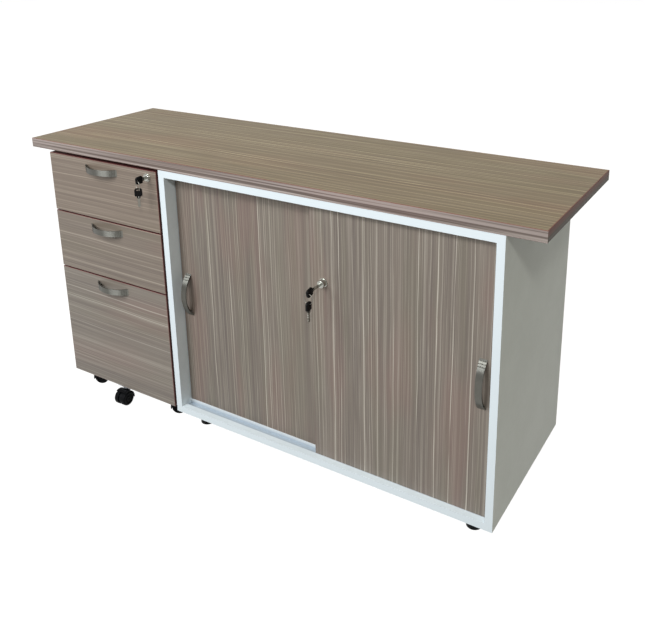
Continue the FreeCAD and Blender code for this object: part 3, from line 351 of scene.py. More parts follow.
def newLaminate(name, kind, values, tone=None):
    # a board with a printed grain; also returns its coordinates and its colour
    material, tree, bsdf, place, _ = newFinish(name, *gloss[kind],
                                               Specular_IOR_Level=values["specular"])
    mapping = addNode(tree, "ShaderNodeMapping", {
        "Vector": place["Object"], "Location": values["shift"], "Scale": (values["fine"],) * 3})
    turned = useGroup(tree, directionGroup, {
        "Vector": mapping.outputs[0], "Normal": place["Normal"], "Upright": values["upright"]})
    printed = useGroup(tree, grainGroup, {
        "Vector": turned[0], "Streaks": values["streaks"], "Contrast": values["contrast"]})
    bumpInto(tree, bsdf, printed["Height"], values["bump"])
    color = printed["Color"]
    if tone:
        color = blendColor(tree, 1.0, color, tone, "MULTIPLY")
    return material, tree, bsdf, place, color


# sliding doors and drawer fronts, with a dark red edge band; each board has its own tone
door = {"upright": 1.0, "streaks": 1.0, "contrast": 1.0, "fine": 1.0, "shift": (0.0, 0.0, 0.0),
        "specular": 0.5, "bump": 0.10, "bandWidth": 0.0010, "bandShows": 0.35}
front = {"upright": 0.0, "streaks": 0.6, "contrast": 1.0, "fine": 0.6, "shift": (0.0, 0.0, 0.0),
         "specular": 0.5, "bump": 0.10, "bandWidth": 0.0009, "bandShows": 1.0}
panel = {
    "rim": tint(120, 66, 61), "side": tint(78, 40, 39),
    "doorTones": {"left": (0.93, 0.92, 0.89, 1), "right": (0.98, 0.97, 0.95, 1)},
    "frontTones": {"bottom": (1.0, 1.0, 0.98, 1), "middle": (0.99, 0.94, 0.89, 1),
                   "top": (0.98, 0.90, 0.83, 1)},
}


def makePanel(name, node, tone, values):
    material, tree, bsdf, place, color = newLaminate(name, "front", values, tone)
    low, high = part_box(node)
    band = useGroup(tree, bandGroup, {
        "Vector": place["Object"], "Normal": place["Normal"], "Low": tuple(low),
        "High": tuple(high), "Width": values["bandWidth"]})
    for part in ("Rim", "Side"):
        amount = calc(tree, "MULTIPLY", band[part], values["bandShows"])
        color = blendColor(tree, amount, color, panel[part.lower()])
    wire(tree, color, bsdf.inputs["Base Color"])
    return material


worktop = {"upright": 0.0, "streaks": 1.6, "contrast": 0.8, "fine": 0.75, "shift": (0.0, 0.0, 0.0),
           "specular": 0.06, "bump": 0.06, "tone": (1.24, 1.13, 0.83, 1.0)}


def makeWorktopBoard():
    material, tree, bsdf, _, color = newLaminate("worktopLaminate", "worktop", worktop,
                                                 worktop["tone"])
    wire(tree, color, bsdf.inputs["Base Color"])
    return material


worktopBand = {
    "upright": 0.0, "streaks": 1.4, "contrast": 1.0, "fine": 1.4, "shift": (0.0, 0.013, 0.007),
    "specular": 0.03, "bump": 0.08,
    # level stripes over the print: marks per metre with their detail and roughness, where they
    # turn dark, both tones, strength
    "stripes": ((1.2, 1.2, 300.0), 1.0, 0.6), "turn": (0.40, 0.64),
    "pale": tint(196, 180, 175), "dark": tint(106, 92, 88), "stripeShows": 0.6,
    # the two ends are darker, as painted shade, and redder along the top
    "end": tint(112, 104, 94), "shadedEndTop": tint(132, 84, 70), "topRange": (0.732, 0.743),
    "endShadeShows": 0.85,
    # the band's own colour on its cut edges above and below
    "cut": tint(140, 96, 84),
    "endLimit": 0.6, "cutLimit": 0.3,
}


def makeWorktopBand():
    values = worktopBand
    material, tree, bsdf, place, color = newLaminate("worktopBand", "band", values)
    stripes = noise(tree, place["Object"], *values["stripes"])["Fac"]
    zebra = blendColor(tree, smoothStep(tree, stripes, *values["turn"]), values["pale"],
                       values["dark"])
    color = blendColor(tree, values["stripeShows"], color, zebra)
    facing = axesOf(tree, place["Normal"])
    # painted shade: both end faces take a darker tint, redder along their top
    high = smoothStep(tree, axesOf(tree, place["Object"])["Z"], *values["topRange"])
    strip = blendColor(tree, high, values["end"], values["shadedEndTop"])
    ends = calc(tree, "MULTIPLY", beyond(tree, facing["X"], values["endLimit"]),
                values["endShadeShows"])
    color = blendColor(tree, ends, color, strip)
    color = blendColor(tree, beyond(tree, facing["Z"], values["cutLimit"]), color, values["cut"])
    wire(tree, color, bsdf.inputs["Base Color"])
    return material


def plainFinish(name, light, dark, roughness, spread=0.12, size=900.0, bump=0.08, **shader):
    # one colour with faint patches, uneven gloss and a fine surface texture
    material, tree, bsdf, _, life = newFinish(name, roughness, spread, size, **shader)
    color = blendColor(tree, smoothStep(tree, life["Patch"], *turning), dark, light)
    wire(tree, color, bsdf.inputs["Base Color"])
    bumpInto(tree, bsdf, life["Height"], bump)
    return material


melamine = {
    "face": tint(234, 244, 249), "outer": tint(230, 235, 224), "band": tint(238, 247, 252),
    "worn": tint(150, 150, 140), "wear": (0.35, 0.65, 0.06), "bump": 0.14,
    # the outer faces, tinted as painted shade, lie at least this far to each side of the cabinet's
    # middle
    "middle": 0.1970, "reach": 0.4535, "edgeLimit": 0.5,
}


def makeMelamine():
    # board faces, the outer sides of the carcasses with a darker, warmer tint as painted shade,
    # and the cooler band on the narrow edges
    material, tree, bsdf, place, life = newFinish("whiteMelamine", *gloss["melamine"])
    # painted shade: the outer side faces take the darker, warmer outer tint
    away = calc(tree, "SUBTRACT", axesOf(tree, place["Object"])["X"], melamine["middle"])
    color = blendColor(tree, beyond(tree, away, melamine["reach"]), melamine["face"],
                       melamine["outer"])
    color = blendColor(tree, patch(tree, life["Patch"], *melamine["wear"]), color,
                       melamine["worn"])
    edge = beyond(tree, axesOf(tree, place["Normal"])["Y"], melamine["edgeLimit"])
    wire(tree, blendColor(tree, edge, color, melamine["band"]), bsdf.inputs["Base Color"])
    bumpInto(tree, bsdf, life["Height"], melamine["bump"])
    return material


lowerTrack = {
    # painted shade: floor is the greyer colour down in the channels, lip the colour at their top,
    # over this height range
    "floor": tint(178, 190, 200), "lip": tint(230, 236, 240), "range": (0.0540, 0.0655),
    "worn": tint(176, 180, 180), "wear": (0.4, 0.7, 0.10), "bump": 0.08,
}


def makeLowerTrack():
    # white moulding with random dusty patches, greyer down in its channels as painted shade
    material, tree, bsdf, place, life = newFinish("lowerTrackPlastic", *gloss["track"])
    # painted shade: greyer towards the channel floor
    rise = smoothStep(tree, axesOf(tree, place["Object"])["Z"], *lowerTrack["range"])
    color = blendColor(tree, rise, lowerTrack["floor"], lowerTrack["lip"])
    color = blendColor(tree, patch(tree, life["Patch"], *lowerTrack["wear"]), color,
                       lowerTrack["worn"])
    wire(tree, color, bsdf.inputs["Base Color"])
    bumpInto(tree, bsdf, life["Height"], lowerTrack["bump"])
    return material


# unevenness of the gloss and its texture's scale; detail and roughness of the scratches; how
# much of the texture joins their relief, and its depth in metres
brushed = {"spread": 0.10, "size": 500.0, "scratches": (2.0, 0.6), "texture": 0.2,
           "depth": 0.0001}


def brushedMetal(name, light, dark, roughness, stretch, bump, brushedAlong=None, **shader):
    # fine scratches along one axis; a brushed strap spreads highlights across its own length
    material, tree, bsdf, place, life = newFinish(name, roughness, brushed["spread"],
                                                  brushed["size"], Metallic=1.0, **shader)
    if brushedAlong:
        turn = addNode(tree, "ShaderNodeTangent", direction_type="RADIAL", axis=brushedAlong)
        wire(tree, turn.outputs[0], bsdf.inputs["Tangent"])
    lines = noise(tree, place["Object"], stretch, *brushed["scratches"])["Fac"]
    wire(tree, blendColor(tree, lines, dark, light), bsdf.inputs["Base Color"])
    texture = calc(tree, "MULTIPLY", life["Height"], brushed["texture"])
    bumpInto(tree, bsdf, calc(tree, "ADD", lines, texture), bump, brushed["depth"])
    return material


# what the black mouldings share, and the two satin handles
black = {"spread": 0.2, "bump": 0.25}
nickel = {"light": (0.17, 0.168, 0.15, 1), "dark": (0.12, 0.118, 0.105, 1), "roughness": 0.40,
          "bump": 0.03, "Anisotropic": 1.0, "Anisotropic_Rotation": 0.25}
finishes = {
    "white": makeMelamine(),
    "boxWhite": plainFinish("drawerBoxMelamine", tint(226, 228, 224), tint(218, 220, 216), 0.45),
    "trackWhite": plainFinish("trackPlastic", tint(222, 228, 230), tint(206, 213, 216), 0.35),
    "lowerTrack": makeLowerTrack(),
    "black": plainFinish("blackPlastic", tint(15, 14, 14), tint(9, 9, 10), 0.42, size=1500.0,
                         Specular_IOR_Level=0.1, **black),
    "castorBlack": plainFinish("castorNylon", tint(11, 12, 14), tint(6, 7, 9), 0.4, size=1500.0,
                               Specular_IOR_Level=0.08, **black),
    "tyre": plainFinish("castorTread", tint(9, 10, 12), tint(5, 6, 8), 0.5, size=1200.0,
                        Specular_IOR_Level=0.06, **black),
    "glide": plainFinish("glidePlastic", tint(214, 214, 206), tint(200, 200, 192), 0.4),
    "nickelLevel": brushedMetal("satinNickelLevel", stretch=(60.0, 900.0, 900.0),
                                brushedAlong="Z", **nickel),
    "nickelUpright": brushedMetal("satinNickelUpright", stretch=(900.0, 900.0, 60.0),
                                  brushedAlong="X", **nickel),
    "chrome": brushedMetal("chrome", (0.42, 0.42, 0.39, 1), (0.34, 0.34, 0.31, 1),
                           roughness=0.14, stretch=(400.0, 400.0, 400.0), bump=0.02),
    "keySteel": brushedMetal("keySteel", (0.26, 0.25, 0.22, 1), (0.18, 0.17, 0.15, 1),
                             roughness=0.32, stretch=(700.0, 60.0, 700.0), bump=0.03),
    "zinc": brushedMetal("zincSteel", (0.62, 0.64, 0.67, 1), (0.48, 0.50, 0.53, 1),
                         roughness=0.34, stretch=(500.0, 12.0, 500.0), bump=0.05),
    "worktop": makeWorktopBoard(),
    "worktopBand": makeWorktopBand(),
}
for hand, tone in panel["doorTones"].items():
    finishes[hand + "Door"] = makePanel(hand + "DoorLaminate", hand + "_door_board", tone, door)
for level, tone in panel["frontTones"].items():
    finishes[level + "Front"] = makePanel(level + "FrontLaminate", level + "_drawer_front", tone,
                                          front)
print("finishes:", len(finishes))

# which nodes of the frame get which finish
dressing = {
    "worktop": ["worktop_board"], "worktopBand": ["worktop_edge_bands"],
    "white": ["cabinet_side_left", "cabinet_side_right", "cabinet_top", "cabinet_bottom",
              "cabinet_back", "cabinet_shelf", "pedestal_side_left", "pedestal_side_right",
              "pedestal_top", "pedestal_bottom", "pedestal_back"],
    "trackWhite": ["upper_track"], "lowerTrack": ["lower_track"],
    "zinc": ["shelf_pins", "slide_outer_members", "castor_plates", "file_hanging_rails",
             "drawer_castor_bracket"],
    "chrome": ["door_lock_barrel", "drawer_lock_barrel", "door_lock_plug", "drawer_lock_plug"],
    "black": ["door_key_head", "drawer_key_head", "door_spare_key", "drawer_spare_key"],
    "castorBlack": ["cabinet_feet"], "tyre": [],
    "glide": [hand + "_door_glides" for hand in hands],
    "nickelUpright": [hand + "_door_handle" for hand in hands],
    "nickelLevel": [level + "_drawer_handle" for level in levels],
    "boxWhite": [level + "_drawer_box" for level in levels],
}
for hand in hands:
    dressing[hand + "Door"] = [hand + "_door_board"]
for level in levels:
    dressing[level + "Front"] = [level + "_drawer_front"]
    dressing["zinc"] += [level + "_slide_inner", level + "_slide_middle"]
for number in range(1, 6):
    dressing["castorBlack"].append(f"castor_{number}_housing")
    dressing["tyre"].append(f"castor_{number}_wheels")
finishOf = {name: finish for finish, names in dressing.items() for name in names}
for name, node in nodes.items():
    node.data.materials.clear()
    node.data.materials.append(finishes[finishOf[name]])
print("CAD nodes dressed:", len(nodes))


# ---- added pieces
jointPlace = {joint["name"]: Vector(joint["pos_m"])
              for joint in frame["record"]["behaviour"]["joints"] if "pos_m" in joint}
rounding = {
    "cornerSteps": 6, "rimSteps": 2,
    # in radians: a line over the first is a rim, over the second is shaded sharp, and under the
    # third is dissolved
    "rim": 1.2, "sharp": math.radians(35), "flat": 0.01,
    "full": 0.98,               # a round end stays just short of full
}
touching = 1e-6                 # a corner that is nearer to a plane lies in it


def addPiece(name, shape, body, materials, replaced=()):
    # the shape becomes an object at the origin that moves with a body of the frame
    mesh = bpy.data.meshes.new(name)
    shape.to_mesh(mesh)
    shape.free()
    for polygon in mesh.polygons:
        polygon.use_smooth = True
    mesh.set_sharp_from_angle(angle=rounding["sharp"])
    for material in materials:
        mesh.materials.append(finishes[material])
    piece = bpy.data.objects.new(name, mesh)
    scene.collection.objects.link(piece)
    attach(piece, body)
    if replaced:
        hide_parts(*replaced)


def softenRims(shape, lines, width):
    rims = [line for line in lines if line.calc_face_angle(0.0) > rounding["rim"]]
    bmesh.ops.bevel(shape, geom=rims, offset=width, offset_type="OFFSET", affect="EDGES",
                    segments=rounding["rimSteps"], profile=0.5, material=-1)


def outlinePlate(outline, rounds, holes, thick, edge):
    # flat plate between -thick/2 and thick/2: rounded outline, rounded holes, softened rims
    shape = bmesh.new()

    def loop(points, radii):
        corners = [shape.verts.new((x, y, -thick / 2)) for x, y in points]
        shape.faces.new(corners)
        for corner, radius in zip(corners, radii):
            if radius:
                bmesh.ops.bevel(shape, geom=[corner], offset=radius, offset_type="OFFSET",
                                affect="VERTICES", segments=rounding["cornerSteps"],
                                profile=0.5, material=-1)

    loop(outline, rounds)
    for points, radius in holes:
        loop(points, [radius] * len(points))
    bmesh.ops.delete(shape, geom=shape.faces[:], context="FACES_ONLY")
    bmesh.ops.triangle_fill(shape, use_beauty=True, edges=shape.edges[:])
    grown = bmesh.ops.extrude_face_region(shape, geom=shape.faces[:])["geom"]
    bmesh.ops.translate(shape, vec=(0.0, 0.0, thick),
                        verts=[part for part in grown if isinstance(part, bmesh.types.BMVert)])
    bmesh.ops.recalc_face_normals(shape, faces=shape.faces[:])
    bmesh.ops.dissolve_limit(shape, angle_limit=rounding["flat"], verts=shape.verts[:],
                             edges=shape.edges[:])
    softenRims(shape, shape.edges, edge)
    return shape


def circle(radius, sides):
    turn = math.tau / sides
    return [(radius * math.cos(step * turn), radius * math.sin(step * turn))
            for step in range(sides)]


def slot(x, length, width):
    # outline and rounding of a hole with round ends
    length, width = length / 2, width / 2
    return (((x - length, -width), (x + length, -width), (x + length, width),
             (x - length, width)), min(length, width) * rounding["full"])


def cutAt(shape, place, normal):
    bmesh.ops.bisect_plane(shape, geom=shape.verts[:] + shape.edges[:] + shape.faces[:],
                           plane_co=place, plane_no=normal)


def joinShape(shape, other):
    # adds another shape's faces to this one
    mesh = bpy.data.meshes.new("joined")
    other.to_mesh(mesh)
    other.free()
    shape.from_mesh(mesh)
    bpy.data.meshes.remove(mesh)


def lift(shape, height):
    bmesh.ops.translate(shape, vec=(0, 0, height), verts=shape.verts[:])
    return shape


def standUp(shape, origin, forward, up):
    # from a piece's own axes to its place
    turn = Matrix((forward, up, forward.cross(up))).transposed().to_4x4()
    bmesh.ops.transform(shape, matrix=Matrix.Translation(origin) @ turn, verts=shape.verts[:])
    return shape


def faceOut(shape, origin, way):
    # the shape's third axis turns to a level direction
    up = Vector((0, 0, 1))
    return standUp(shape, Vector(origin), up.cross(way), up)


# folding keys: head on its pin, split ring, spare key; the sizes are the frame's
key = {
    "headWide": 19.0, "headThick": 5.0, "headAhead": 22.0, "headRound": 6.0,
    "neckWide": 9.0, "neckAhead": 1.5, "neckBack": 4.0, "neckRound": 2.9,
    "slitHalf": 1.4, "slitEnd": 4.6, "holeFromTip": 5.0, "hole": (4.2, 8.5), "edge": 0.8,
    # raised pads: inset from the outline and from the neck, rise, corners at neck and tip
    "padInset": 2.0, "padFromNeck": 3.2, "padRise": 0.3, "padRound": (1.5, 4.2), "padEdge": 0.25,
    # fold pin, and how much longer it is than the head is thick
    "pin": 1.5, "pinProud": 0.5, "pinEdge": 0.25, "pinSides": 20,
    # its faces lie within this share of its radius, and turn or stand out by more than this
    "pinReach": 1.01, "pinStands": 0.505,
    "bladeWide": 7.0, "bladeThick": 2.2, "bladeLong": 27.0, "bladeAbove": 3.4,
    "bladeCorner": 2.2, "bladeEdge": 0.2,
    # bites of the blade: distance below the pivot, depth; their half width and floor's share
    "bites": ((9.0, 0.7), (11.2, 1.3), (13.4, 0.5), (15.6, 1.1), (17.8, 1.5), (20.0, 0.8)),
    "biteWide": 1.1, "biteFloor": 0.35,
    # milled groove: half width, depth, start below the pivot, distance from the tip; faces of
    # the blade's flat sides look at least this squarely to the side
    "groove": (0.55, 0.35, 6.0, 3.0), "squarely": 0.99,
    # the waist takes in the corners within this share of the wire
    "ringRadius": 12.0, "ringWire": 0.8, "ringNotch": 0.25, "ringWaist": 0.1,
    "ringSides": 16, "ringSteps": 64,
}
# in degrees: how far the key in the lock droops, and how far its spare is turned
locks = {
    "door": {"droop": 12.0, "spareTurn": 2.0},
    "drawer": {"droop": 2.0, "spareTurn": -43.0},
}


def cutSlit(shape):
    # opening for the blade through the neck, closed again with walls
    half, end = key["slitHalf"] * mm, key["slitEnd"] * mm
    cutAt(shape, (end, 0, 0), (1, 0, 0))
    for height in (half, -half):
        cutAt(shape, (0, 0, height), (0, 0, 1))
    gone = [face for face in shape.faces if abs(face.calc_center_median().z) < half
            and face.calc_center_median().x < end]
    bmesh.ops.delete(shape, geom=gone, context="FACES")
    for height in (half, -half):
        rim = [line for line in shape.edges if line.is_boundary
               and all(abs(corner.co.z - height) < touching for corner in line.verts)]
        ends = [corner for line in rim for corner in line.verts
                if abs(corner.co.x - end) < touching]
        rim.append(shape.edges.new(ends))
        bmesh.ops.contextual_create(shape, geom=rim)
    bottom = [corner for corner in shape.verts
              if abs(corner.co.x - end) < touching and abs(abs(corner.co.z) - half) < touching
              and any(line.is_boundary for line in corner.link_edges)]
    bmesh.ops.contextual_create(shape, geom=bottom)


def addPin(shape):
    # riveted ends of the fold pin, in the second finish
    radius, thick = key["pin"] * mm, key["headThick"] * mm
    pin = bmesh.ops.create_cone(shape, cap_ends=True, segments=key["pinSides"], radius1=radius,
                                radius2=radius, depth=(key["headThick"] + key["pinProud"]) * mm)
    softenRims(shape, {line for corner in pin["verts"] for line in corner.link_edges},
               key["pinEdge"] * mm)
    for face in shape.faces:
        middle = face.calc_center_median()
        stands = abs(face.normal.y) + abs(face.normal.x) + abs(middle.z) / thick
        if middle.xy.length < radius * key["pinReach"] and stands > key["pinStands"]:
            face.material_index = 1


def makeKeyHead():
    # grip and neck in one outline, slit for the blade, raised pads round the ring hole
    half, neck = key["headWide"] * mm / 2, key["neckWide"] * mm / 2
    tip, root, end = key["headAhead"] * mm, key["neckAhead"] * mm, -key["neckBack"] * mm
    big, small = key["headRound"] * mm, key["neckRound"] * mm
    thick, hole = key["headThick"] * mm, tip - key["holeFromTip"] * mm
    length, width = (size * mm for size in key["hole"])
    shape = outlinePlate(
        ((end, -neck), (root, -neck), (root, -half), (tip, -half),
         (tip, half), (root, half), (root, neck), (end, neck)),
        (small, 0, small, big, big, small, 0, small),
        (slot(hole, length, width),), thick, key["edge"] * mm)
    cutSlit(shape)
    inset, rise = key["padInset"] * mm, key["padRise"] * mm
    low, high, side = root + key["padFromNeck"] * mm, tip - inset, half - inset
    near, far = (size * mm for size in key["padRound"])
    joinShape(shape, outlinePlate(
        ((low, -side), (high, -side), (high, side), (low, side)), (near, far, far, near),
        (slot(hole, length + rise, width + rise),), thick + 2 * rise, key["padEdge"] * mm))
    bmesh.ops.recalc_face_normals(shape, faces=shape.faces[:])
    addPin(shape)
    return shape


def makeKeyBlade():
    # cut blade from the pivot downwards, with a milled groove on both faces
    half, long = key["bladeWide"] * mm / 2, key["bladeLong"] * mm
    wide, corner = key["biteWide"] * mm, key["bladeCorner"] * mm
    flat = wide * key["biteFloor"]
    edgeLine = [(key["bladeAbove"] * mm, half)]
    for below, depth in key["bites"]:
        middle, floor = -below * mm, half - depth * mm
        edgeLine += [(middle + wide, half), (middle + flat, floor),
                     (middle - flat, floor), (middle - wide, half)]
    edgeLine += [(corner - long, half), (-long, half - corner)]
    other = [(x, -y) for x, y in reversed(edgeLine)]
    rounds = [corner] + [0] * (2 * len(edgeLine) - 2) + [corner]
    shape = outlinePlate(edgeLine + other, rounds, (), key["bladeThick"] * mm,
                         key["bladeEdge"] * mm)
    groove, depth, start, rest = (size * mm for size in key["groove"])
    for place in (groove, -groove):
        cutAt(shape, (0, place, 0), (0, 1, 0))
    for place in (-start, rest - long):
        cutAt(shape, (place, 0, 0), (1, 0, 0))
    for side in (1, -1):
        strip = [face for face in shape.faces if face.normal.z * side > key["squarely"]
                 and abs(face.calc_center_median().y) < groove
                 and rest - long < face.calc_center_median().x < -start]
        bmesh.ops.inset_region(shape, faces=strip, thickness=depth / 2, depth=-depth,
                               use_boundary=True)
    bmesh.ops.recalc_face_normals(shape, faces=shape.faces[:])
    return shape


def makeSplitRing():
    # two turns of wire lying on each other, drawn as one section with a waist
    shape = bmesh.new()
    radius, strand = key["ringRadius"] * mm, key["ringWire"] * mm
    section = bmesh.ops.create_circle(shape, segments=key["ringSides"], radius=strand)["verts"]
    for corner in section:
        if abs(corner.co.y) < strand * key["ringWaist"]:
            corner.co.x *= 1 - key["ringNotch"] / key["ringWire"]
    bmesh.ops.translate(shape, vec=(radius, 0, 0), verts=section)
    bmesh.ops.spin(shape, geom=shape.verts[:] + shape.edges[:], cent=(0, 0, 0), axis=(0, 1, 0),
                   angle=math.tau, steps=key["ringSteps"], use_merge=True)
    bmesh.ops.recalc_face_normals(shape, faces=shape.faces[:])
    return shape


def makeKeys(lock, values):
    droop, turn = math.radians(values["droop"]), math.radians(values["spareTurn"])
    forward = Vector((0, -math.cos(droop), -math.sin(droop)))
    above = Vector((0, -math.sin(droop), math.cos(droop)))
    pivot, hole = jointPlace[lock + "_key_fold"], jointPlace[lock + "_spare_hang"]
    addPiece(lock + "KeyHead", standUp(makeKeyHead(), pivot, forward, above), lock + "_key",
             ("black", "chrome"), (lock + "_key_head",))
    # the spare hangs from the ring, and the ring's axis lies along its own second axis
    up, back = Vector((0, 0, 1)), Vector((0, 1, 0))
    halfWay = Matrix.Rotation(turn / 2, 3, "Z") @ back
    across = Matrix.Rotation(turn, 3, "Z") @ back
    drop = 2 * key["ringRadius"] + key["headAhead"] - key["holeFromTip"]
    for name, shape, below, side, materials in (
            ("KeyRing", makeSplitRing(), key["ringRadius"], halfWay, ("keySteel",)),
            ("SpareHead", makeKeyHead(), drop, across, ("black", "chrome")),
            ("SpareBlade", makeKeyBlade(), drop, across, ("keySteel",))):
        addPiece(lock + name, standUp(shape, hole - up * below * mm, up, side), lock + "_spare",
                 materials, (lock + "_spare_key",))


for lock, values in locks.items():
    makeKeys(lock, values)
print("keys ready")


# screw heads: radius and height of each kind
screw = {
    "pan": (3.9, 1.9), "flat": (4.3, 0.35), "slide": (3.4, 0.9), "sides": 24,
    # cross recess, as shares of the radius; the rim's softening, as a share of the height
    "arm": 0.56, "half": 0.13, "edge": 0.35,
    # the base that closes the recess: share of the height and of the radius, softening
    "base": 0.4, "baseWide": 0.98, "baseEdge": 0.02,
    # handle screws on both sides of a handle's middle; box screws from the back end, and
    # where they sit in the box's height
    "handleSpread": 48.0, "boxInset": 6.0, "boxHeights": (0.18, 0.82),
}


def makeScrewHead(kind):
    # low cap with a cross recess that ends on a thin base
    radius, rise = (size * mm for size in screw[kind])
    rim = circle(radius, screw["sides"])
    arm, half = radius * screw["arm"], radius * screw["half"]
    cross = [tuple(Matrix.Rotation(math.pi / 2 * step, 2) @ Vector(point))
             for step in range(4) for point in ((arm, -half), (arm, half), (half, half))]
    shape = lift(outlinePlate(rim, (), ((cross, 0),), rise, rise * screw["edge"]), rise / 2)
    base = outlinePlate([(x * screw["baseWide"], y * screw["baseWide"]) for x, y in rim], (), (),
                        rise * screw["base"], rise * screw["baseEdge"])
    joinShape(shape, lift(base, rise * screw["base"] / 2))
    return shape


def addScrews(name, kind, places, way, body, material="zinc"):
    group = bmesh.new()
    for place in places:
        joinShape(group, faceOut(makeScrewHead(kind), place, Vector(way)))
    addPiece(name, group, body, (material,))


def middleOf(node, axis):
    low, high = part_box(node)
    return (low[axis] + high[axis]) / 2


def addHandleScrews(name, kind, body, board, way):
    # two screws behind a handle, seen on the inside of its board
    x, z = (middleOf(body + "_handle", axis) for axis in (0, 2))
    inside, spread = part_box(board)[1][1], screw["handleSpread"] * mm
    places = [(x + step * way[0] * spread, inside, z + step * way[1] * spread)
              for step in (-1, 1)]
    addScrews(name + "HandleScrews", kind, places, (0, 1, 0), body)


def addBoxScrews():
    # assembly screws through the back ends of the drawer sides
    for level in levels:
        low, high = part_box(level + "_drawer_box")
        rise = high[2] - low[2]
        for name, x, way in (("Left", low[0], -1), ("Right", high[0], 1)):
            places = [(x, high[1] - screw["boxInset"] * mm, low[2] + rise * part)
                      for part in screw["boxHeights"]]
            addScrews(level + "BoxScrews" + name, "flat", places, (way, 0, 0), level + "_drawer")


# ball slides: sections from the carcass side, as the frame's members leave room for them;
# each cage sits where its two members still overlap with the drawer fully out, which is
# the back of the middle member for the outer race and its front for the inner one
slide = {
    # ball radius, place across, height of the row; the retainer's web and tips; first ball
    "races": ((2.25, 5.2, 19.3, 2.1, 8.0, 208.0), (1.65, 8.4, 14.1, 5.2, 10.1, 24.0)),
    "balls": 15, "ballSides": (8, 6), "pitch": 11.0,
    # retainer: thickness, softened edge, and how far it reaches past the last ball's middle
    "strip": 0.5, "stripEdge": 0.08, "stripEnd": 3.5,
    "screwSteps": (34.0, 199.0, 362.0), "screwDepth": 1.2,
}


def slideStart(level):
    # front end of the level's middle member, and its height
    low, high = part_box(level + "_slide_middle")
    return low[1], (low[2] + high[2]) / 2


def makeBalls(level, edge, way):
    shape = bmesh.new()
    front, z = slideStart(level)
    around, upDown = slide["ballSides"]
    for radius, across, height, _, _, start in slide["races"]:
        for index in range(slide["balls"]):
            y = front + (start + index * slide["pitch"]) * mm
            for side in (-1, 1):
                spot = Vector((edge + way * across * mm, y, z + side * height * mm))
                bmesh.ops.create_uvsphere(shape, u_segments=around, v_segments=upDown,
                                          radius=radius * mm, matrix=Matrix.Translation(spot))
    return shape


def makeRetainers(level, edge, way):
    # folded strips that hold the balls apart
    group = bmesh.new()
    front, z = slideStart(level)
    half, end = slide["strip"] / 2, slide["stripEnd"]
    long = (slide["balls"] - 1) * slide["pitch"] + 2 * end
    turn = Matrix(((1, 0, 0), (0, 0, 1), (0, 1, 0))).to_4x4()
    for _, _, height, web, tips, start in slide["races"]:
        upper = [(web + 2 * half, height - half), (tips, height - half), (tips, height + half),
                 (web, height + half)]
        lower = [(x, -y) for x, y in reversed(upper)]
        outline = [(way * x * mm, y * mm) for x, y in lower + upper]
        if way < 0:
            outline.reverse()
        strip = outlinePlate(outline, (), (), long * mm, slide["stripEdge"] * mm)
        y = front + (start - end + long / 2) * mm
        bmesh.ops.transform(strip, matrix=Matrix.Translation((edge, y, z)) @ turn,
                            verts=strip.verts[:])
        bmesh.ops.recalc_face_normals(strip, faces=strip.faces[:])
        joinShape(group, strip)
    return group


def addSlideWorks():
    low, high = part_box("pedestal_side_left")[1][0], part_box("pedestal_side_right")[0][0]
    for level in levels:
        front, z = slideStart(level)
        for name, edge, way in (("Left", low, 1), ("Right", high, -1)):
            addPiece(level + "Balls" + name, makeBalls(level, edge, way), level + "_slide",
                     ("chrome",))
            addPiece(level + "Retainer" + name, makeRetainers(level, edge, way),
                     level + "_slide", ("zinc",))
            x = edge + way * slide["screwDepth"] * mm
            addScrews(level + "SlideScrews" + name, "slide",
                      [(x, front + step * mm, z) for step in slide["screwSteps"]],
                      (way, 0, 0), "pedestal", "keySteel")


# rows of shelf pin sleeves in the cabinet's sides; the pins sit in the middle ones
sleeve = {
    "outer": 3.6, "inner": 2.4, "rise": 0.3, "edge": 0.1, "sides": 20, "inset": 2.5,
    "pitch": 32.0, "steps": (-4, -3, -2, -1, 1, 2, 3, 4),
}


def addSleeves():
    low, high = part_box("shelf_pins")
    middle, rise, inset = (low[2] + high[2]) / 2, sleeve["rise"] * mm, sleeve["inset"] * mm
    outer, inner = (circle(sleeve[name] * mm, sleeve["sides"]) for name in ("outer", "inner"))
    for name, edge, way in (("Left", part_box("cabinet_side_left")[1][0], 1),
                            ("Right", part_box("cabinet_side_right")[0][0], -1)):
        group = bmesh.new()
        for y in (low[1] + inset, high[1] - inset):
            for step in sleeve["steps"]:
                ring = outlinePlate(outer, (), ((inner, 0),), rise, sleeve["edge"] * mm)
                place = (edge + way * rise / 2, y, middle + step * sleeve["pitch"] * mm)
                joinShape(group, faceOut(ring, place, Vector((way, 0, 0))))
        addPiece("shelfSleeves" + name, group, "cabinet", ("black",))


for level in levels:
    addHandleScrews(level, "pan", level + "_drawer", level + "_drawer_front", (1, 0))
for hand in hands:
    addHandleScrews(hand, "flat", hand + "_door", hand + "_door_board", (0, 1))
addBoxScrews()
addSlideWorks()
addSleeves()
print("screws, ball races and sleeves ready")


# ---- room
room = {
    "worldLight": 0.17, "worldColor": (1.0, 0.97, 0.80, 1.0), "white": (1.0, 1.0, 1.0, 1.0),
    "floorSize": 30.0, "floorColor": (0.16, 0.158, 0.142, 1.0), "floorRoughness": 0.9,
}


def seenRays(tree):
    # 1 for what is seen directly, in a reflection or through something clear
    path = addNode(tree, "ShaderNodeLightPath")
    seen = calc(tree, "MAXIMUM", path.outputs["Is Camera Ray"], path.outputs["Is Glossy Ray"])
    return calc(tree, "MAXIMUM", seen, path.outputs["Is Transmission Ray"])


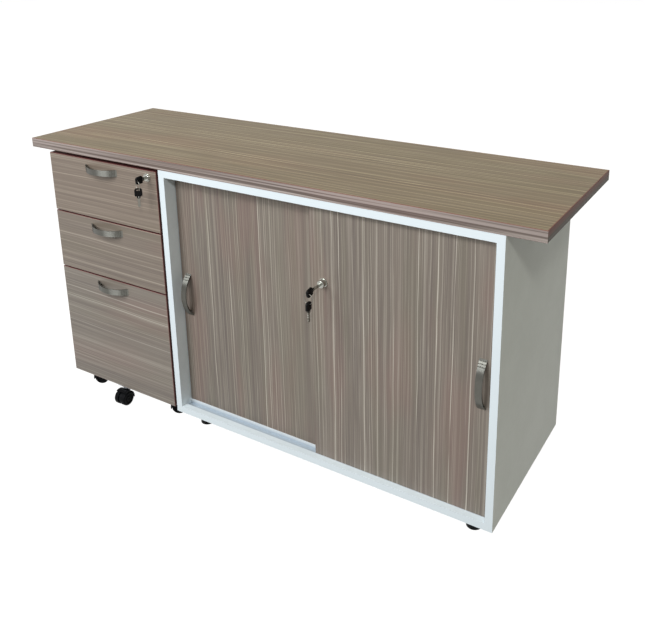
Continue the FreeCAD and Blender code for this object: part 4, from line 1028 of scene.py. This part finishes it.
def makeWorld():
    # white where it is seen, and a dim warm light on the object
    world = bpy.data.worlds.new("studio")
    scene.world = world
    world.use_nodes = True
    tree = world.node_tree
    tree.nodes.clear()
    seen, light = seenRays(tree), room["worldLight"]
    back = addNode(tree, "ShaderNodeBackground", {
        "Color": blendColor(tree, seen, room["worldColor"], room["white"]),
        "Strength": calc(tree, "ADD", calc(tree, "MULTIPLY", seen, 1.0 - light), light)})
    addNode(tree, "ShaderNodeOutputWorld", {"Surface": back.outputs[0]})


def makeFloor():
    # grey for the light that it takes and throws back, with a white glow where it is seen
    mesh = bpy.data.meshes.new("floor")
    shape = bmesh.new()
    bmesh.ops.create_grid(shape, x_segments=2, y_segments=2, size=room["floorSize"] / 2)
    shape.to_mesh(mesh)
    shape.free()
    floor = bpy.data.objects.new("floor", mesh)
    scene.collection.objects.link(floor)
    material, tree, bsdf = newMaterial("floorPaint", room["floorRoughness"],
                                       Base_Color=room["floorColor"], Specular_IOR_Level=0.0)
    glow = addNode(tree, "ShaderNodeEmission", {"Color": room["white"],
                                                "Strength": seenRays(tree)})
    both = addNode(tree, "ShaderNodeAddShader", {0: bsdf.outputs[0], 1: glow.outputs[0]})
    wire(tree, both.outputs[0], tree.nodes["Material Output"].inputs["Surface"])
    mesh.materials.append(material)


# each lamp stands some way off a point of the object, in a direction from it
lamps = {
    "key": {"power": 22.0, "size": 0.3, "color": (1.0, 0.99, 0.97), "over": (0.65, 0.0, 0.6),
            "azimuth": 22.6, "elevation": 39.0, "far": 3.0},
    "fill": {"power": 172.0, "size": 2.6, "color": (0.96, 1.0, 1.04), "over": (0.0, 0.0, 0.4),
             "azimuth": -20.0, "elevation": 36.0, "far": 4.5},
}


def makeLamp(name, values):
    lamp = bpy.data.lights.new(name, "AREA")
    lamp.energy, lamp.size, lamp.color = values["power"], values["size"], values["color"]
    holder = bpy.data.objects.new(name, lamp)
    scene.collection.objects.link(holder)
    turn, rise = math.radians(values["azimuth"]), math.radians(values["elevation"])
    way = Vector((math.sin(turn) * math.cos(rise), -math.cos(turn) * math.cos(rise),
                  math.sin(rise)))
    holder.location = Vector(values["over"]) + way * values["far"]
    holder.rotation_euler = way.to_track_quat("Z", "Y").to_euler()


# lens and place found from the object's own straight edges
camera = {
    "place": (1.1228, -1.52645, 1.2639),
    "azimuth": 30.79, "elevation": 16.04, "roll": -0.43,
    "focal": 774.0, "wide": 645.0, "high": 636.0, "centre": (362.2, 165.0), "sensor": 36.0,
}


def makeCamera():
    wide, high = camera["wide"], camera["high"]
    lens = bpy.data.cameras.new("camera")
    lens.sensor_width = camera["sensor"]
    lens.lens = camera["focal"] * camera["sensor"] / wide
    lens.shift_x = (wide / 2 - camera["centre"][0]) / wide
    lens.shift_y = (camera["centre"][1] - high / 2) / wide
    holder = bpy.data.objects.new("camera", lens)
    scene.collection.objects.link(holder)
    turn = Matrix.Rotation(math.radians(camera["azimuth"]), 4, "Z")
    tilt = Matrix.Rotation(math.pi / 2 - math.radians(camera["elevation"]), 4, "X")
    roll = Matrix.Rotation(math.radians(camera["roll"]), 4, "Z")
    holder.matrix_world = Matrix.Translation(camera["place"]) @ turn @ tilt @ roll
    scene.camera = holder


makeWorld()
makeFloor()
for name, values in lamps.items():
    makeLamp(name, values)
makeCamera()
print("room, lamps and camera ready")
